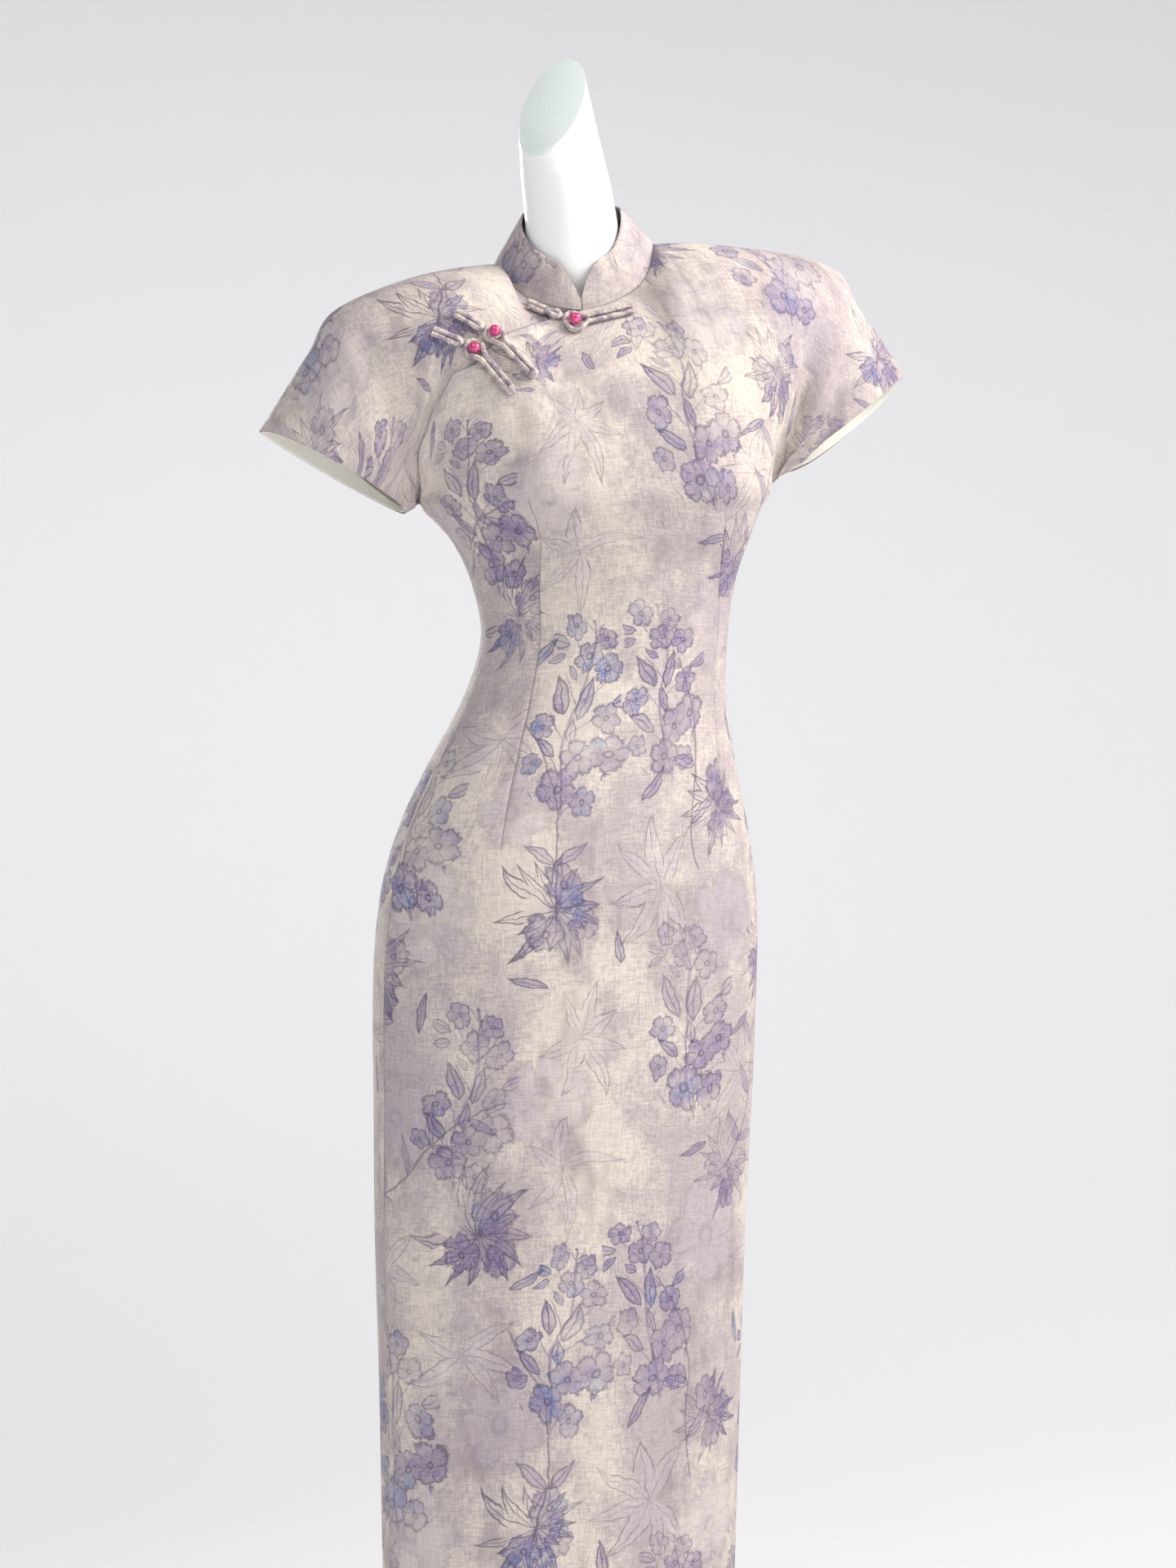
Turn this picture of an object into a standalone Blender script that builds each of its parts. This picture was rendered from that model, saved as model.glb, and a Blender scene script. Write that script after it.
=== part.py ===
"""A short-sleeved cheongsam on a limbless dress form with a pole and a round base.

Metres, +Z up. The origin is on the floor at the middle of the base. The dress faces -Y and the
wearer's right side is at -X. Tables are in millimetres and degrees.
"""

import math

import bmesh
import bpy
import numpy as np

MM = 0.001
WALL = 1.5  # thickness of the cloth
GAP = 0.3  # between pieces that touch
SEAM = 0.2  # how far each panel stops short of a seam
COLLAR_WALL = 2.2

# Rings of the dress from hem to armpits. shift_x and shift_y place the middle of the ring, front
# and back are its half depths, twist turns it toward the wearer's left, roll lifts that side and
# dart is the angle of the waist darts from the middle of the front.
SECTIONS = (
    # height, shift_x, shift_y, half_width, front, back, twist, roll, dart
    (200, -13, 2, 158, 104, 104, 10.0, 0.0, 40.0),
    (330, -13, 2, 161, 107, 108, 10.0, 0.0, 40.0),
    (480, -12, 2, 165, 109, 111, 11.0, 0.0, 40.0),
    (620, -11, 3, 170, 111, 115, 12.0, 0.0, 40.0),
    (730, -8, 4, 174, 112, 119, 13.0, 0.0, 40.0),
    (820, -6, 5, 176, 112, 122, 13.0, 0.0, 40.0),
    (880, -4, 5, 175, 111, 121, 13.0, 0.0, 40.0),
    (930, -2, 5, 168, 108, 118, 12.0, 0.0, 40.5),
    (980, 2, 5, 154, 102, 110, 11.0, 0.0, 41.5),
    (1030, 9, 4, 135, 93, 98, 10.0, 0.0, 43.5),
    (1080, 18, 2, 117, 85, 86, 8.0, 0.5, 46.0),
    (1130, 26, 1, 110, 81, 79, 7.0, 1.0, 47.5),
    (1175, 26, 2, 116, 87, 82, 5.0, 1.6, 44.0),
    (1212, 26, 5, 130, 98, 88, 3.0, 2.3, 38.0),
    (1233, 23, 6, 142, 103, 92, 2.0, 2.8, 35.0),
    (1252, 21, 8, 157, 108, 95, 1.0, 3.3, 33.0),
)
SQUARE = 2.1  # exponent of the rings, a little squarer than an ellipse
BACK_DART = 42.0
ARMPIT_LEVEL = len(SECTIONS) - 1
YOKE_LEVELS = 5  # rings from the armpits to the shoulder seams
TOP_LEVEL = ARMPIT_LEVEL + YOKE_LEVELS

BUST = {"height": 1285, "angle": 36.0, "spread": 25.0, "rise": 52.0, "depth": 13.0}

# Where the yoke and the sleeves end: x, y, z
SHOULDER = {"right": (-206, 18, 1408), "left": (236, 25, 1454)}
SLEEVE_OUTER = {"right": (-272, 15, 1305), "left": (309, 35, 1360)}
SLEEVE_INNER = {"right": (-149, 10, 1235), "left": (196, 2, 1276)}
NECK = {"middle": (5, 21), "half_width": 68, "front": 58, "back": 57, "twist": -9.0}
NECK_HEIGHT = {"front": 1408, "right": 1450, "left": 1468, "back": 1480}
SLEEVE_DEPTH = {"armhole": 62, "right": 58, "left": 44}
SLEEVE_ARCH = {"right": 3, "left": 8}  # how far the hem of a sleeve rises at its middle
SHOULDER_RISE = {"right": 9, "left": 6}  # of the shoulder seams over a straight line
SLEEVE_STEPS = 3  # control columns from armhole to hem
SIDE_COLUMN = 8  # control columns from the wearer's right side to the left one
# How far each control column of the yoke swells out between armpit and shoulder, and the angle
# of the arc that it follows, 90 where it lies level on the shoulder.
YOKE_FRONT = ((62, 90), (30, 90), (8, 80), (0, 62), (0, 52), (0, 62), (8, 80), (30, 90), (62, 90))
YOKE_BACK = ((62, 90), (26, 90), (10, 80), (4, 55), (2, 42), (4, 55), (10, 80), (26, 90), (62, 90))

# The edge of the front from the middle of the neck to the right armpit: x, z
OPENING = (
    (-4, 1407),
    (-25, 1401),
    (-46, 1397),
    (-82, 1388),
    (-104, 1376),
    (-115, 1360),
    (-127, 1348),
    (-139, 1335),
    (-145, 1322),
    (-149, 1300),
    (-146, 1268),
    (-137, 1244),
)
UNDERLAP = 0.35  # how far the under front reaches below the front, in control columns
SINK = 3.3  # how far the under front lies below the front where the front covers it
SINK_START = 1.3  # control columns before the front's edge where it starts to sink
SINK_WHOLE = 0.25  # and where it has sunk

# Soft folds: the side they are on, their ends in x and z, half width and depth
FOLDS = (
    # side, x0, z0, x1, z1, half_width, depth
    ("front", 206, 1395, 172, 1262, 11, 7.0),
    ("front", 236, 1372, 196, 1290, 9, 2.5),
    ("front", -168, 1352, -146, 1258, 13, 4.0),
    ("front", -196, 1392, -176, 1300, 10, 2.0),
    ("front", -104, 520, -108, 210, 12, 2.5),
    ("front", 82, 470, 90, 205, 16, 2.0),
    ("back", 200, 1385, 170, 1265, 14, 5.0),
    ("back", -172, 1365, -140, 1255, 14, 5.0),
    ("back", -60, 1165, 70, 1150, 12, 2.5),
    ("back", -70, 1105, 84, 1118, 11, 2.5),
    ("back", 40, 560, 46, 205, 16, 2.5),
)
FOLD_RUNOUT = {"reach": 0.12, "length": 0.4}  # shares of a fold's length where it fades out
SEAM_CALM = 0.12  # share of the yoke beside a seam where folds fade out
DART_DEPTH = 0.8
DART_SPAN = {"front": (950, 1255), "back": (965, 1240)}

SLIT_TOP = 330  # the side slits open below this height
SLIT_GAP = 7.0  # how far each edge has drawn back at the hem

COLLAR = {"height": 38, "corner": 36, "front_gap": 1.4, "clear": 1.3}
COLLAR_TOP = {"middle": (1, 18), "half_width": 44.5, "depth": 47}

FACING = {"wall": 1.2, "gap": 0.6}  # the band that shows inside a sleeve's hem

# The form inside: how far it stays behind the cloth and where it ends below
FORM_INSET = 6.5
FORM_BOTTOM_LEVEL = 3
# Rings from chest to neck: x, y, height of the middle, half width, front, back, roll, pitch
# toward the front, squareness
FORM_TOP = (
    (17, 10, 1290, 146, 94, 80, 3.2, 0, 2.2),
    (16, 12, 1322, 144, 80, 70, 3.4, 0, 2.2),
    (16, 14, 1352, 150, 66, 60, 3.5, 2, 2.2),
    (16, 16, 1378, 158, 54, 48, 3.5, 4, 2.2),
    (16, 17, 1398, 164, 47, 39, 3.5, 6, 2.2),
    (15, 17, 1411, 160, 43, 34, 3.7, 9, 2.2),
    (15, 17, 1422, 146, 40, 31, 3.9, 13, 2.2),
    (12, 18, 1429, 120, 38, 29, 4.0, 16, 2.1),
    (8, 19, 1435, 86, 37, 29, 4.2, 22, 2.0),
    (5, 20, 1445, 54, 39, 34, 4.2, 26, 2.0),
    (3, 20, 1465, 43, 42, 37, 2.0, 24, 2.0),
    (1, 19, 1488, 40, 40.5, 40, 0.0, 10, 2.0),
    (-4, 18, 1520, 38, 38, 38, 0.0, 0, 2.0),
)
NECK_CUT = {"middle": (-16.5, 16, 1585), "radius": 29.0, "slope": (1.0, 1.1)}
NECK_PLATE = 2.5
PLATE_SHARE = 0.985  # of the neck's width

FORM_TURN = 15  # degrees between the form's points
FORM_RINGS = 1.5  # rings for each row of its tables

POLE_RADIUS = 14
SOCKET = {"radius": 30, "height": 26}
BASE = {"radius": 170, "thickness": 12, "rise": 7, "flat": 40}

# Frogs: the ends of the loop side and of the knob side, and the bead between them, in x and z,
# and how far above the faceted cloth they lie on top of the gap
FROGS = {
    "collar": {
        "loop": (39, 1410), "bead": (-15, 1400), "knob": (-48, 1415), "bead_radius": 5.5, "clear": 0.75,
    },
    "upper": {
        "loop": (-64, 1358), "bead": (-90, 1390), "knob": (-118, 1407), "bead_radius": 5.0, "clear": 0.4,
    },
    "lower": {
        "loop": (-83, 1346), "bead": (-106, 1378), "knob": (-137, 1391), "bead_radius": 5.0, "clear": 0.05,
    },
}
CORD = {"radius": 1.6, "spacing": 3.7}
CORD_STEPS = 6  # stretches of a leg
CORD_TURN = 125  # degrees each way that a loop goes round its bead

COLOURS = {
    # name: red, green, blue, roughness, metallic
    "cloth": (0.66, 0.60, 0.62, 0.75, 0.0),
    "facing": (0.80, 0.79, 0.66, 0.70, 0.0),
    "bead": (0.62, 0.06, 0.24, 0.15, 0.0),
    "form": (0.88, 0.88, 0.88, 0.25, 0.0),
    "plate": (0.66, 0.72, 0.69, 0.45, 0.0),
    "steel": (0.72, 0.72, 0.73, 0.30, 0.9),
}


def unit(v):
    return v / np.maximum(np.linalg.norm(v, axis=-1, keepdims=True), 1e-12)


def through(points, at):
    """Points of a smooth curve through a list, which has one spare point before and after it."""
    p = np.asarray(points, float)
    at = np.asarray(at, float)
    i = np.clip(np.floor(at).astype(int), 0, len(p) - 4)
    t = (at - i).reshape(-1, *[1] * (p.ndim - 1))
    a, b, c, d = p[i], p[i + 1], p[i + 2], p[i + 3]
    return b + 0.5 * t * (c - a + t * (2 * a - 5 * b + 4 * c - d + t * (3 * (b - c) + d - a)))


def with_ends(points, before=None, after=None):
    """A list with the spare points that through() needs, carried straight on where none is given."""
    p = [np.asarray(point, float) for point in points]
    first = 2 * p[0] - p[1] if before is None else before
    last = 2 * p[-1] - p[-2] if after is None else after
    return np.array([first, *p, last])


def ring(section, angles, inset=0.0):
    """Points round one section, at angles from the middle of its front, plus toward the left."""
    height, shift_x, shift_y, half_width, front, back, twist, roll = section[:8]
    a = np.radians(np.asarray(angles, float))
    side = np.sign(np.sin(a)) * np.abs(np.sin(a)) ** (2 / SQUARE) * (half_width - inset)
    ahead = np.sign(np.cos(a)) * np.abs(np.cos(a)) ** (2 / SQUARE)
    ahead = ahead * (np.where(np.cos(a) > 0, front, back) - inset)
    off = np.abs((np.asarray(angles, float) + 180) % 360 - 180) - BUST["angle"]
    swell = np.exp(-((off / BUST["spread"]) ** 2) - ((height - BUST["height"]) / BUST["rise"]) ** 2)
    ahead = ahead + BUST["depth"] * swell * np.sqrt(np.clip(np.cos(a), 0, 1))
    t = math.radians(twist)
    x = shift_x + side * math.cos(t) + ahead * math.sin(t)
    y = shift_y + side * math.sin(t) - ahead * math.cos(t)
    return np.stack([x, y, height + side * math.tan(math.radians(roll))], axis=1)


def column_angles(dart, back):
    """The angles of the control columns from the right side to the left one."""
    d = BACK_DART if back else dart
    half = [90, (90 + d) / 2, d, d / 2]
    angles = np.array([-a for a in half] + [0] + half[::-1], float)
    return 180 - angles if back else angles


def neckline(back):
    """Where the control columns 2 to 6 meet the collar."""
    angles = np.radians(np.array([-90, -47, 0, 47, 90], float))
    depth = -NECK["back"] if back else NECK["front"]
    side, ahead = NECK["half_width"] * np.sin(angles), depth * np.cos(angles)
    t = math.radians(NECK["twist"])
    middle = NECK_HEIGHT["back" if back else "front"]
    ends = np.where(angles < 0, NECK_HEIGHT["right"], NECK_HEIGHT["left"])
    z = middle + (ends - middle) * (1 - np.cos(angles)) ** 0.9
    x = NECK["middle"][0] + side * math.cos(t) + ahead * math.sin(t)
    y = NECK["middle"][1] + side * math.sin(t) - ahead * math.cos(t)
    return np.stack([x, y, z], axis=1)


def top_line(back):
    """The control points along the overarm and shoulder seams and the neckline."""
    neck = neckline(back)
    right, left = np.array(SHOULDER["right"], float), np.array(SHOULDER["left"], float)
    parts = []
    outer = np.array(SLEEVE_OUTER["right"], float)
    for k in range(SLEEVE_STEPS, 0, -1):
        parts.append(right + (outer - right) * k / SLEEVE_STEPS)
    parts += [right, (right + neck[0]) / 2 + [0, 0, SHOULDER_RISE["right"]], *neck]
    parts += [(left + neck[4]) / 2 + [0, 0, SHOULDER_RISE["left"]], left]
    outer = np.array(SLEEVE_OUTER["left"], float)
    for k in range(1, SLEEVE_STEPS + 1):
        parts.append(left + (outer - left) * k / SLEEVE_STEPS)
    return np.array(parts)


def under_line(armpit_ring):
    """The control points of the armpit level, with the seams under the arms at both ends."""
    parts = []
    for name, armpit in (("right", armpit_ring[0]), ("left", armpit_ring[-1])):
        inner = np.array(SLEEVE_INNER[name], float)
        parts.append([armpit + (inner - armpit) * k / SLEEVE_STEPS for k in range(1, SLEEVE_STEPS + 1)])
    return np.array([*parts[0][::-1], *armpit_ring, *parts[1]])


def yoke_point(low, high, swell, sweep, v, back, sleeve):
    """One point on the way from the armpit level to the shoulder, 0 to 1."""
    ahead = np.array([0.0, 1.0 if back else -1.0, 0.0])
    if sleeve:  # half a ring round the arm
        turn = math.pi * v
        return low + (high - low) * (1 - math.cos(turn)) / 2 + ahead * swell * math.sin(turn)
    limit = math.radians(sweep)
    turn = v * limit
    rise = math.sin(turn) / math.sin(limit)
    fall = (1 - math.cos(turn)) / (1 - math.cos(limit))
    point = low + (high - low) * np.array([v, fall, rise])
    return point + ahead * swell * math.sin(math.pi * v)


def control_net(back):
    """(rings of the skirt and bodice, rings of the yoke with its sleeves), front or back half."""
    lower = np.array([ring(s, column_angles(s[8], back)) for s in SECTIONS])
    low, high = under_line(lower[-1]), top_line(back)
    table = YOKE_BACK if back else YOKE_FRONT
    upper = []
    for k in range(YOKE_LEVELS + 1):
        v = k / YOKE_LEVELS
        row = []
        for i in range(len(low)):
            column = i - SLEEVE_STEPS
            if 0 < column < SIDE_COLUMN:
                swell, sweep, sleeve = *table[column], False
            else:
                hem = "right" if column <= 0 else "left"
                along = max(-column, column - SIDE_COLUMN, 0) / SLEEVE_STEPS
                swell = SLEEVE_DEPTH["armhole"] * (1 - along) + SLEEVE_DEPTH[hem] * along
                sweep, sleeve = 90, True
                arch = [0, 0, SLEEVE_ARCH[hem] * along * math.sin(math.pi * v)]
            point = yoke_point(low[i], high[i], swell, sweep, v, back, sleeve)
            row.append(point + arch if sleeve else point)
        upper.append(row)
    return lower, np.array(upper)


NETS = {back: control_net(back) for back in (False, True)}


def column_point(level, column, back):
    """One control column at any level: round the arm on a sleeve, else from hem to shoulder."""
    lower, upper = NETS[back]
    over = NETS[not back][1]
    i = column + SLEEVE_STEPS
    if column < 0 or column > SIDE_COLUMN:
        chain = with_ends(upper[:, i], over[1, i], over[-2, i])
        return through(chain, [max(level - ARMPIT_LEVEL, 0)])[0]
    if column in (0, SIDE_COLUMN) and level < ARMPIT_LEVEL:  # both panels of the seam alike
        chain = with_ends(lower[:, column], None, (upper[1, i] + over[1, i]) / 2)
        return through(chain, [level])[0]
    after = None if 2 < column < 6 else over[-2, i]
    chain = with_ends(np.concatenate([lower[:, column], upper[1:, i]]), None, after)
    return through(chain, [level])[0]


def control_row(level, back):
    """The control columns of one level with a spare one at each end, and where column 0 is."""
    if level >= ARMPIT_LEVEL:
        columns = range(-SLEEVE_STEPS, SIDE_COLUMN + SLEEVE_STEPS + 1)
        return with_ends([column_point(level, c, back) for c in columns]), SLEEVE_STEPS
    torso = [column_point(level, c, back) for c in range(SIDE_COLUMN + 1)]
    right, left = (column_point(level, c, not back) for c in (1, SIDE_COLUMN - 1))
    return with_ends(torso, right, left), 0


def bare_row(level, columns, back):
    """Points along one level before folds."""
    columns = np.asarray(columns, float)
    row, first = control_row(level, back)
    points = through(row, columns + first)
    share = (level - ARMPIT_LEVEL) / YOKE_LEVELS
    if share < 0:
        return points
    # where two panels share a seam they also bend alike at its end, and the neckline runs round
    other = control_row(level, not back)[0]
    middle = SIDE_COLUMN // 2
    off = np.abs(columns - middle)
    bends = (
        # which columns, their far control column, the other panel's that it nears, how far
        (off > 4, 3, 3, (1 - share) ** 8 / 2),
        ((off > 2) & (off < 3), 1, 1, share**8 / 2),
        ((off > 1) & (off < 2), 3, 1, share**4),
    )
    for near, far, source, amount in bends:
        bent = row.copy()
        for side in (-1, 1):
            i, j = (first + 1 + middle + side * k for k in (far, source))
            bent[i] += (other[j] - row[i]) * amount
        points[near] = through(bent, columns[near] + first)
    return points


def dart_groove(points, columns, back):
    """How deep the waist darts pull the cloth in."""
    low, high = DART_SPAN["back" if back else "front"]
    z = points[:, 2]
    along = np.clip((z - low) / (high - low), 0, 1)
    near = np.minimum(np.abs(columns - 2), np.abs(columns - 6))
    return DART_DEPTH * np.sin(np.pi * along) ** 0.5 * (near < 0.01)


def fold_depth(points, back):
    """How deep the soft folds are at points of one side."""
    total = np.zeros(len(points))
    for side, x0, z0, x1, z1, half_width, depth in FOLDS:
        if (side == "back") != back:
            continue
        start, way = np.array([x0, z0]), np.array([x1 - x0, z1 - z0])
        rel = points[:, [0, 2]] - start
        along = rel @ way / (way @ way)
        off = np.linalg.norm(rel - np.clip(along, 0, 1)[:, None] * way, axis=1)
        inside = np.minimum(along, 1 - along) + FOLD_RUNOUT["reach"]
        ends = np.clip(inside / FOLD_RUNOUT["length"], 0, 1)
        total += depth * np.exp(-((off / half_width) ** 2)) * ends
    return total


NORMAL_STEP = 0.02  # control columns and levels over which a slope is taken


def bare_normals(level, columns, back):
    """Outward normals along one level, before folds."""
    step = NORMAL_STEP
    yoke = level >= ARMPIT_LEVEL
    higher, lower = min(level + step, TOP_LEVEL), max(level - step, ARMPIT_LEVEL if yoke else 0)
    first, last = (-SLEEVE_STEPS, SIDE_COLUMN + SLEEVE_STEPS) if yoke else (0, SIDE_COLUMN)
    along = bare_row(level, np.minimum(columns + step, last), back)
    along = along - bare_row(level, np.maximum(columns - step, first), back)
    up = bare_row(higher, columns, back) - bare_row(lower, columns, back)
    return unit(np.cross(along, up)) * (-1 if back else 1)


def on_seam(level, columns):
    """Which columns of a level lie on a side, underarm, overarm or shoulder seam."""
    side = (columns <= 0) | (columns >= SIDE_COLUMN)
    if level <= ARMPIT_LEVEL:
        return side
    return ((columns <= 2) | (columns >= 6)) & (level == TOP_LEVEL)


def cloth_row(level, columns, back):
    """Outer points and outward normals along one level."""
    columns = np.asarray(columns, float)
    points, normals = bare_row(level, columns, back), bare_normals(level, columns, back)
    seam = on_seam(level, columns)
    if seam.any():  # both panels of a seam share its normals
        shared = unit(normals + bare_normals(level, columns, not back))
        normals = np.where(seam[:, None], shared, normals)
    share = (level - ARMPIT_LEVEL) / YOKE_LEVELS
    sleeve = np.clip(np.abs(columns - SIDE_COLUMN / 2) - 3, 0, 1)
    calm = 1 - sleeve * (1 - np.clip(share / SEAM_CALM, 0, 1))  # the seams lie flat
    calm = calm * np.clip((1 - share) / SEAM_CALM, 0, 1)
    sunk = calm * fold_depth(points, back) + dart_groove(points, columns, back)
    return points - normals * sunk[:, None], normals


EDGE_STEPS = 240  # how finely the opening's edge is looked for
EDGE_RANGE = (-0.4, 4.2)  # the control columns that it lies between


def opening_curve():
    return through(with_ends(OPENING), np.linspace(0, len(OPENING) - 1, EDGE_STEPS))


def opening_column(level, curve):
    """The control column where the front's edge crosses one level of the yoke."""
    columns = np.linspace(*EDGE_RANGE, EDGE_STEPS)
    row = bare_row(level, columns, False)[:, [0, 2]]
    far = np.linalg.norm(row[:, None] - curve[None], axis=2).min(axis=1)
    return float(columns[far.argmin()])


def levels_between(first, last, each):
    return np.linspace(first, last, int(round((last - first) * each)) + 1)


def grid_faces(rows, columns, start=0):
    return [
        (start + r * columns + c, start + r * columns + c + 1, start + (r + 1) * columns + c + 1,
         start + (r + 1) * columns + c)
        for r in range(rows - 1)
        for c in range(columns - 1)
    ]


class Sheet:
    """An open sheet of cloth made of grids that share edges."""

    def __init__(self):
        self.points, self.normals, self.faces = [], [], []

    def add(self, rows):
        """Adds a grid, given as (points, normals) for each row."""
        start = len(self.points)
        for points, normals in rows:
            self.points.extend(points)
            self.normals.extend(normals)
        self.faces += grid_faces(len(rows), len(rows[0][0]), start)

    def welded(self):
        """Points, normals and faces with the shared edges joined."""
        keys, first, where = {}, [], []
        for i, p in enumerate(self.points):
            key = tuple(np.round(p, 3))
            if key not in keys:
                keys[key] = len(first)
                first.append(i)
            where.append(keys[key])
        faces = [tuple(where[i] for i in f) for f in self.faces]
        return np.array(self.points)[first], np.array(self.normals)[first], faces


def rim_edges(faces):
    """The directed edges that only one face uses."""
    edges = {(a, b) for f in faces for a, b in zip(f, f[1:] + f[:1])}
    return [(a, b) for a, b in edges if (b, a) not in edges]


def drawn_back(points, faces, amount):
    """Points with the rim moved into the sheet, as a seam's gap needs."""
    rim = {i for edge in rim_edges(faces) for i in edge}
    pull = {i: np.zeros(3) for i in rim}
    for f in faces:
        for k, i in enumerate(f):
            if i in rim:
                inner = [j for j in (f[k - 1], f[(k + 1) % len(f)]) if j not in rim]
                for j in inner or [f[(k + 2) % len(f)]]:
                    pull[i] += unit(points[j] - points[i])
    moved = points.copy()
    for i in rim:
        moved[i] += amount * unit(pull[i])
    return moved


def mesh_object(name, points, faces, colour, smooth=True):
    mesh = bpy.data.meshes.new(name)
    mesh.from_pydata([tuple(p) for p in np.asarray(points) * MM], [], faces)
    bm = bmesh.new()
    bm.from_mesh(mesh)
    bmesh.ops.recalc_face_normals(bm, faces=bm.faces)
    bm.to_mesh(mesh)
    bm.free()
    if smooth:
        mesh.shade_smooth()
    return place(name, mesh, colour)


def place(name, data, colour):
    obj = bpy.data.objects.new(name, data)
    bpy.data.collections["cheongsam_on_form"].objects.link(obj)
    finish(obj, colour)
    return obj


def finish(obj, colour):
    material = bpy.data.materials.new(obj.name)
    material.use_nodes = True
    red, green, blue, roughness, metallic = COLOURS[colour]
    shader = material.node_tree.nodes["Principled BSDF"]
    shader.inputs["Base Color"].default_value = (red, green, blue, 1)
    shader.inputs["Roughness"].default_value = roughness
    shader.inputs["Metallic"].default_value = metallic
    obj.data.materials.clear()
    obj.data.materials.append(material)


def wall(name, sheet, thickness=WALL, colour="cloth", seam=SEAM):
    """A sheet made solid, its outer side where the sheet is."""
    points, normals, faces = sheet.welded()
    points = drawn_back(points, faces, seam)
    n = len(points)
    solid = faces + [tuple(i + n for i in reversed(f)) for f in faces]
    solid += [(b, a, a + n, b + n) for a, b in rim_edges(faces)]
    return mesh_object(name, np.concatenate([points, points - normals * thickness]), solid, colour)


# Fine columns of a panel between its side seams, closer beside the darts, and of a sleeve
PANEL_COLUMNS = np.array(
    [0, 0.5, 1, 1.5, 1.92, 2, 2.08, 2.4, 2.7, 3, 3.33, 3.67, 4]
    + [4.33, 4.67, 5, 5.3, 5.6, 5.92, 6, 6.08, 6.5, 7, 7.5, 8]
)
SLEEVE_COLUMNS = np.array([0.7, 1.4, 2.1, 2.6, 3])
UNDER_COLUMNS = 13  # steps across the under front
UNDER_CORNER = 6  # the step that meets the neck's side at the top
ANCHOR = 15  # the panel column that the front's opening edge doesn't move
FACING_COLUMNS = SLEEVE_COLUMNS[2:]
STRAIGHT_LEVEL = 6  # below it the skirt needs half as many rows
YOKE_ROWS = levels_between(ARMPIT_LEVEL, TOP_LEVEL, 2)


def slit_back(points, level):
    """The side edges of a row drawn apart below the top of the slits."""
    if level > 1:
        return points
    open_by = SLIT_GAP * np.clip((SLIT_TOP - points[:, 2]) / (SLIT_TOP - SECTIONS[0][0]), 0, 1)
    moved = points.copy()
    moved[0] += unit(points[1] - points[0]) * open_by[0]
    moved[-1] += unit(points[-2] - points[-1]) * open_by[-1]
    return moved


def skirt_rows(back):
    rows = []
    for level in [*range(STRAIGHT_LEVEL), *levels_between(STRAIGHT_LEVEL, ARMPIT_LEVEL, 2)]:
        points, normals = cloth_row(level, PANEL_COLUMNS, back)
        rows.append((slit_back(points, level), normals))
    return rows


def front(edges):
    """The front and the left sleeve's front half, cut in one."""
    sheet = Sheet()
    sheet.add(skirt_rows(False))
    rows = []
    for level, edge in zip(YOKE_ROWS, edges):
        fixed = PANEL_COLUMNS[ANCHOR]
        warped = edge + (fixed - edge) * PANEL_COLUMNS[: ANCHOR + 1] / fixed
        rest = PANEL_COLUMNS[ANCHOR + 1 :]
        columns = np.concatenate([warped, rest, SIDE_COLUMN + SLEEVE_COLUMNS])
        rows.append(cloth_row(level, columns, False))
    sheet.add(rows)
    return wall("front", sheet)


def sunk_row(level, columns, edge):
    """A row of the under front, which sinks below the front toward the front's edge."""
    points, normals = cloth_row(level, columns, False)
    share = np.clip((columns - edge + SINK_START) / (SINK_START - SINK_WHOLE), 0, 1)
    return points - normals * (SINK * share**2 * (3 - 2 * share))[:, None], normals


def under_front(edges):
    """The piece below the opening and the right sleeve's front half, cut in one."""
    rows = []
    steps = np.arange(UNDER_COLUMNS + 1)
    for level, edge in zip(YOKE_ROWS, edges):
        share = (level - ARMPIT_LEVEL) / YOKE_LEVELS
        even = (edge + UNDERLAP) * steps / UNDER_COLUMNS
        fitted = np.interp(
            steps,
            [0, UNDER_CORNER, UNDER_COLUMNS - 1, UNDER_COLUMNS],
            [0, edge / 2 + (2 - edge / 2) * share**6, edge, edge + UNDERLAP],
        )
        columns = np.concatenate([-SLEEVE_COLUMNS[::-1], even + (fitted - even) * share])
        rows.append(sunk_row(level, columns, edge))
    sheet = Sheet()
    sheet.add(rows)
    return wall("under_front", sheet)


def back():
    """The whole back with both sleeves' back halves."""
    sheet = Sheet()
    sheet.add(skirt_rows(True))
    columns = np.concatenate([-SLEEVE_COLUMNS[::-1], PANEL_COLUMNS, SIDE_COLUMN + SLEEVE_COLUMNS])
    sheet.add([cloth_row(level, columns, True) for level in YOKE_ROWS])
    return wall("back", sheet)


def facing(side):
    """The pale band inside one sleeve's hem, a closed ring."""
    columns = SIDE_COLUMN + FACING_COLUMNS if side == "left" else -FACING_COLUMNS[::-1]
    halves = []
    for is_back in (False, True):
        rows = [cloth_row(level, columns, is_back) for level in YOKE_ROWS]
        halves.append([(points - normals * (WALL + FACING["gap"]), normals) for points, normals in rows])
    for end in (0, -1):  # both halves share the rows over and under the arm
        shared = np.mean([halves[0][end], halves[1][end]], axis=0)
        halves[0][end] = halves[1][end] = (shared[0], unit(shared[1]))
    sheet = Sheet()
    sheet.add(halves[0])
    sheet.add(halves[1][::-1])
    return wall(f"facing_{side}", sheet, FACING["wall"], "facing")


NECK_STEPS = 40  # points on a quarter of the neckline
COLLAR_ENDS = (0, 2.5, 6, 11, 17, 24, 32, 42)  # columns of the collar from a front end
COLLAR_COLUMNS = 30  # columns of the rest
COLLAR_ROWS = 5
LOWEST_EDGE = 0.08  # share of the collar's height at its very ends


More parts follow.
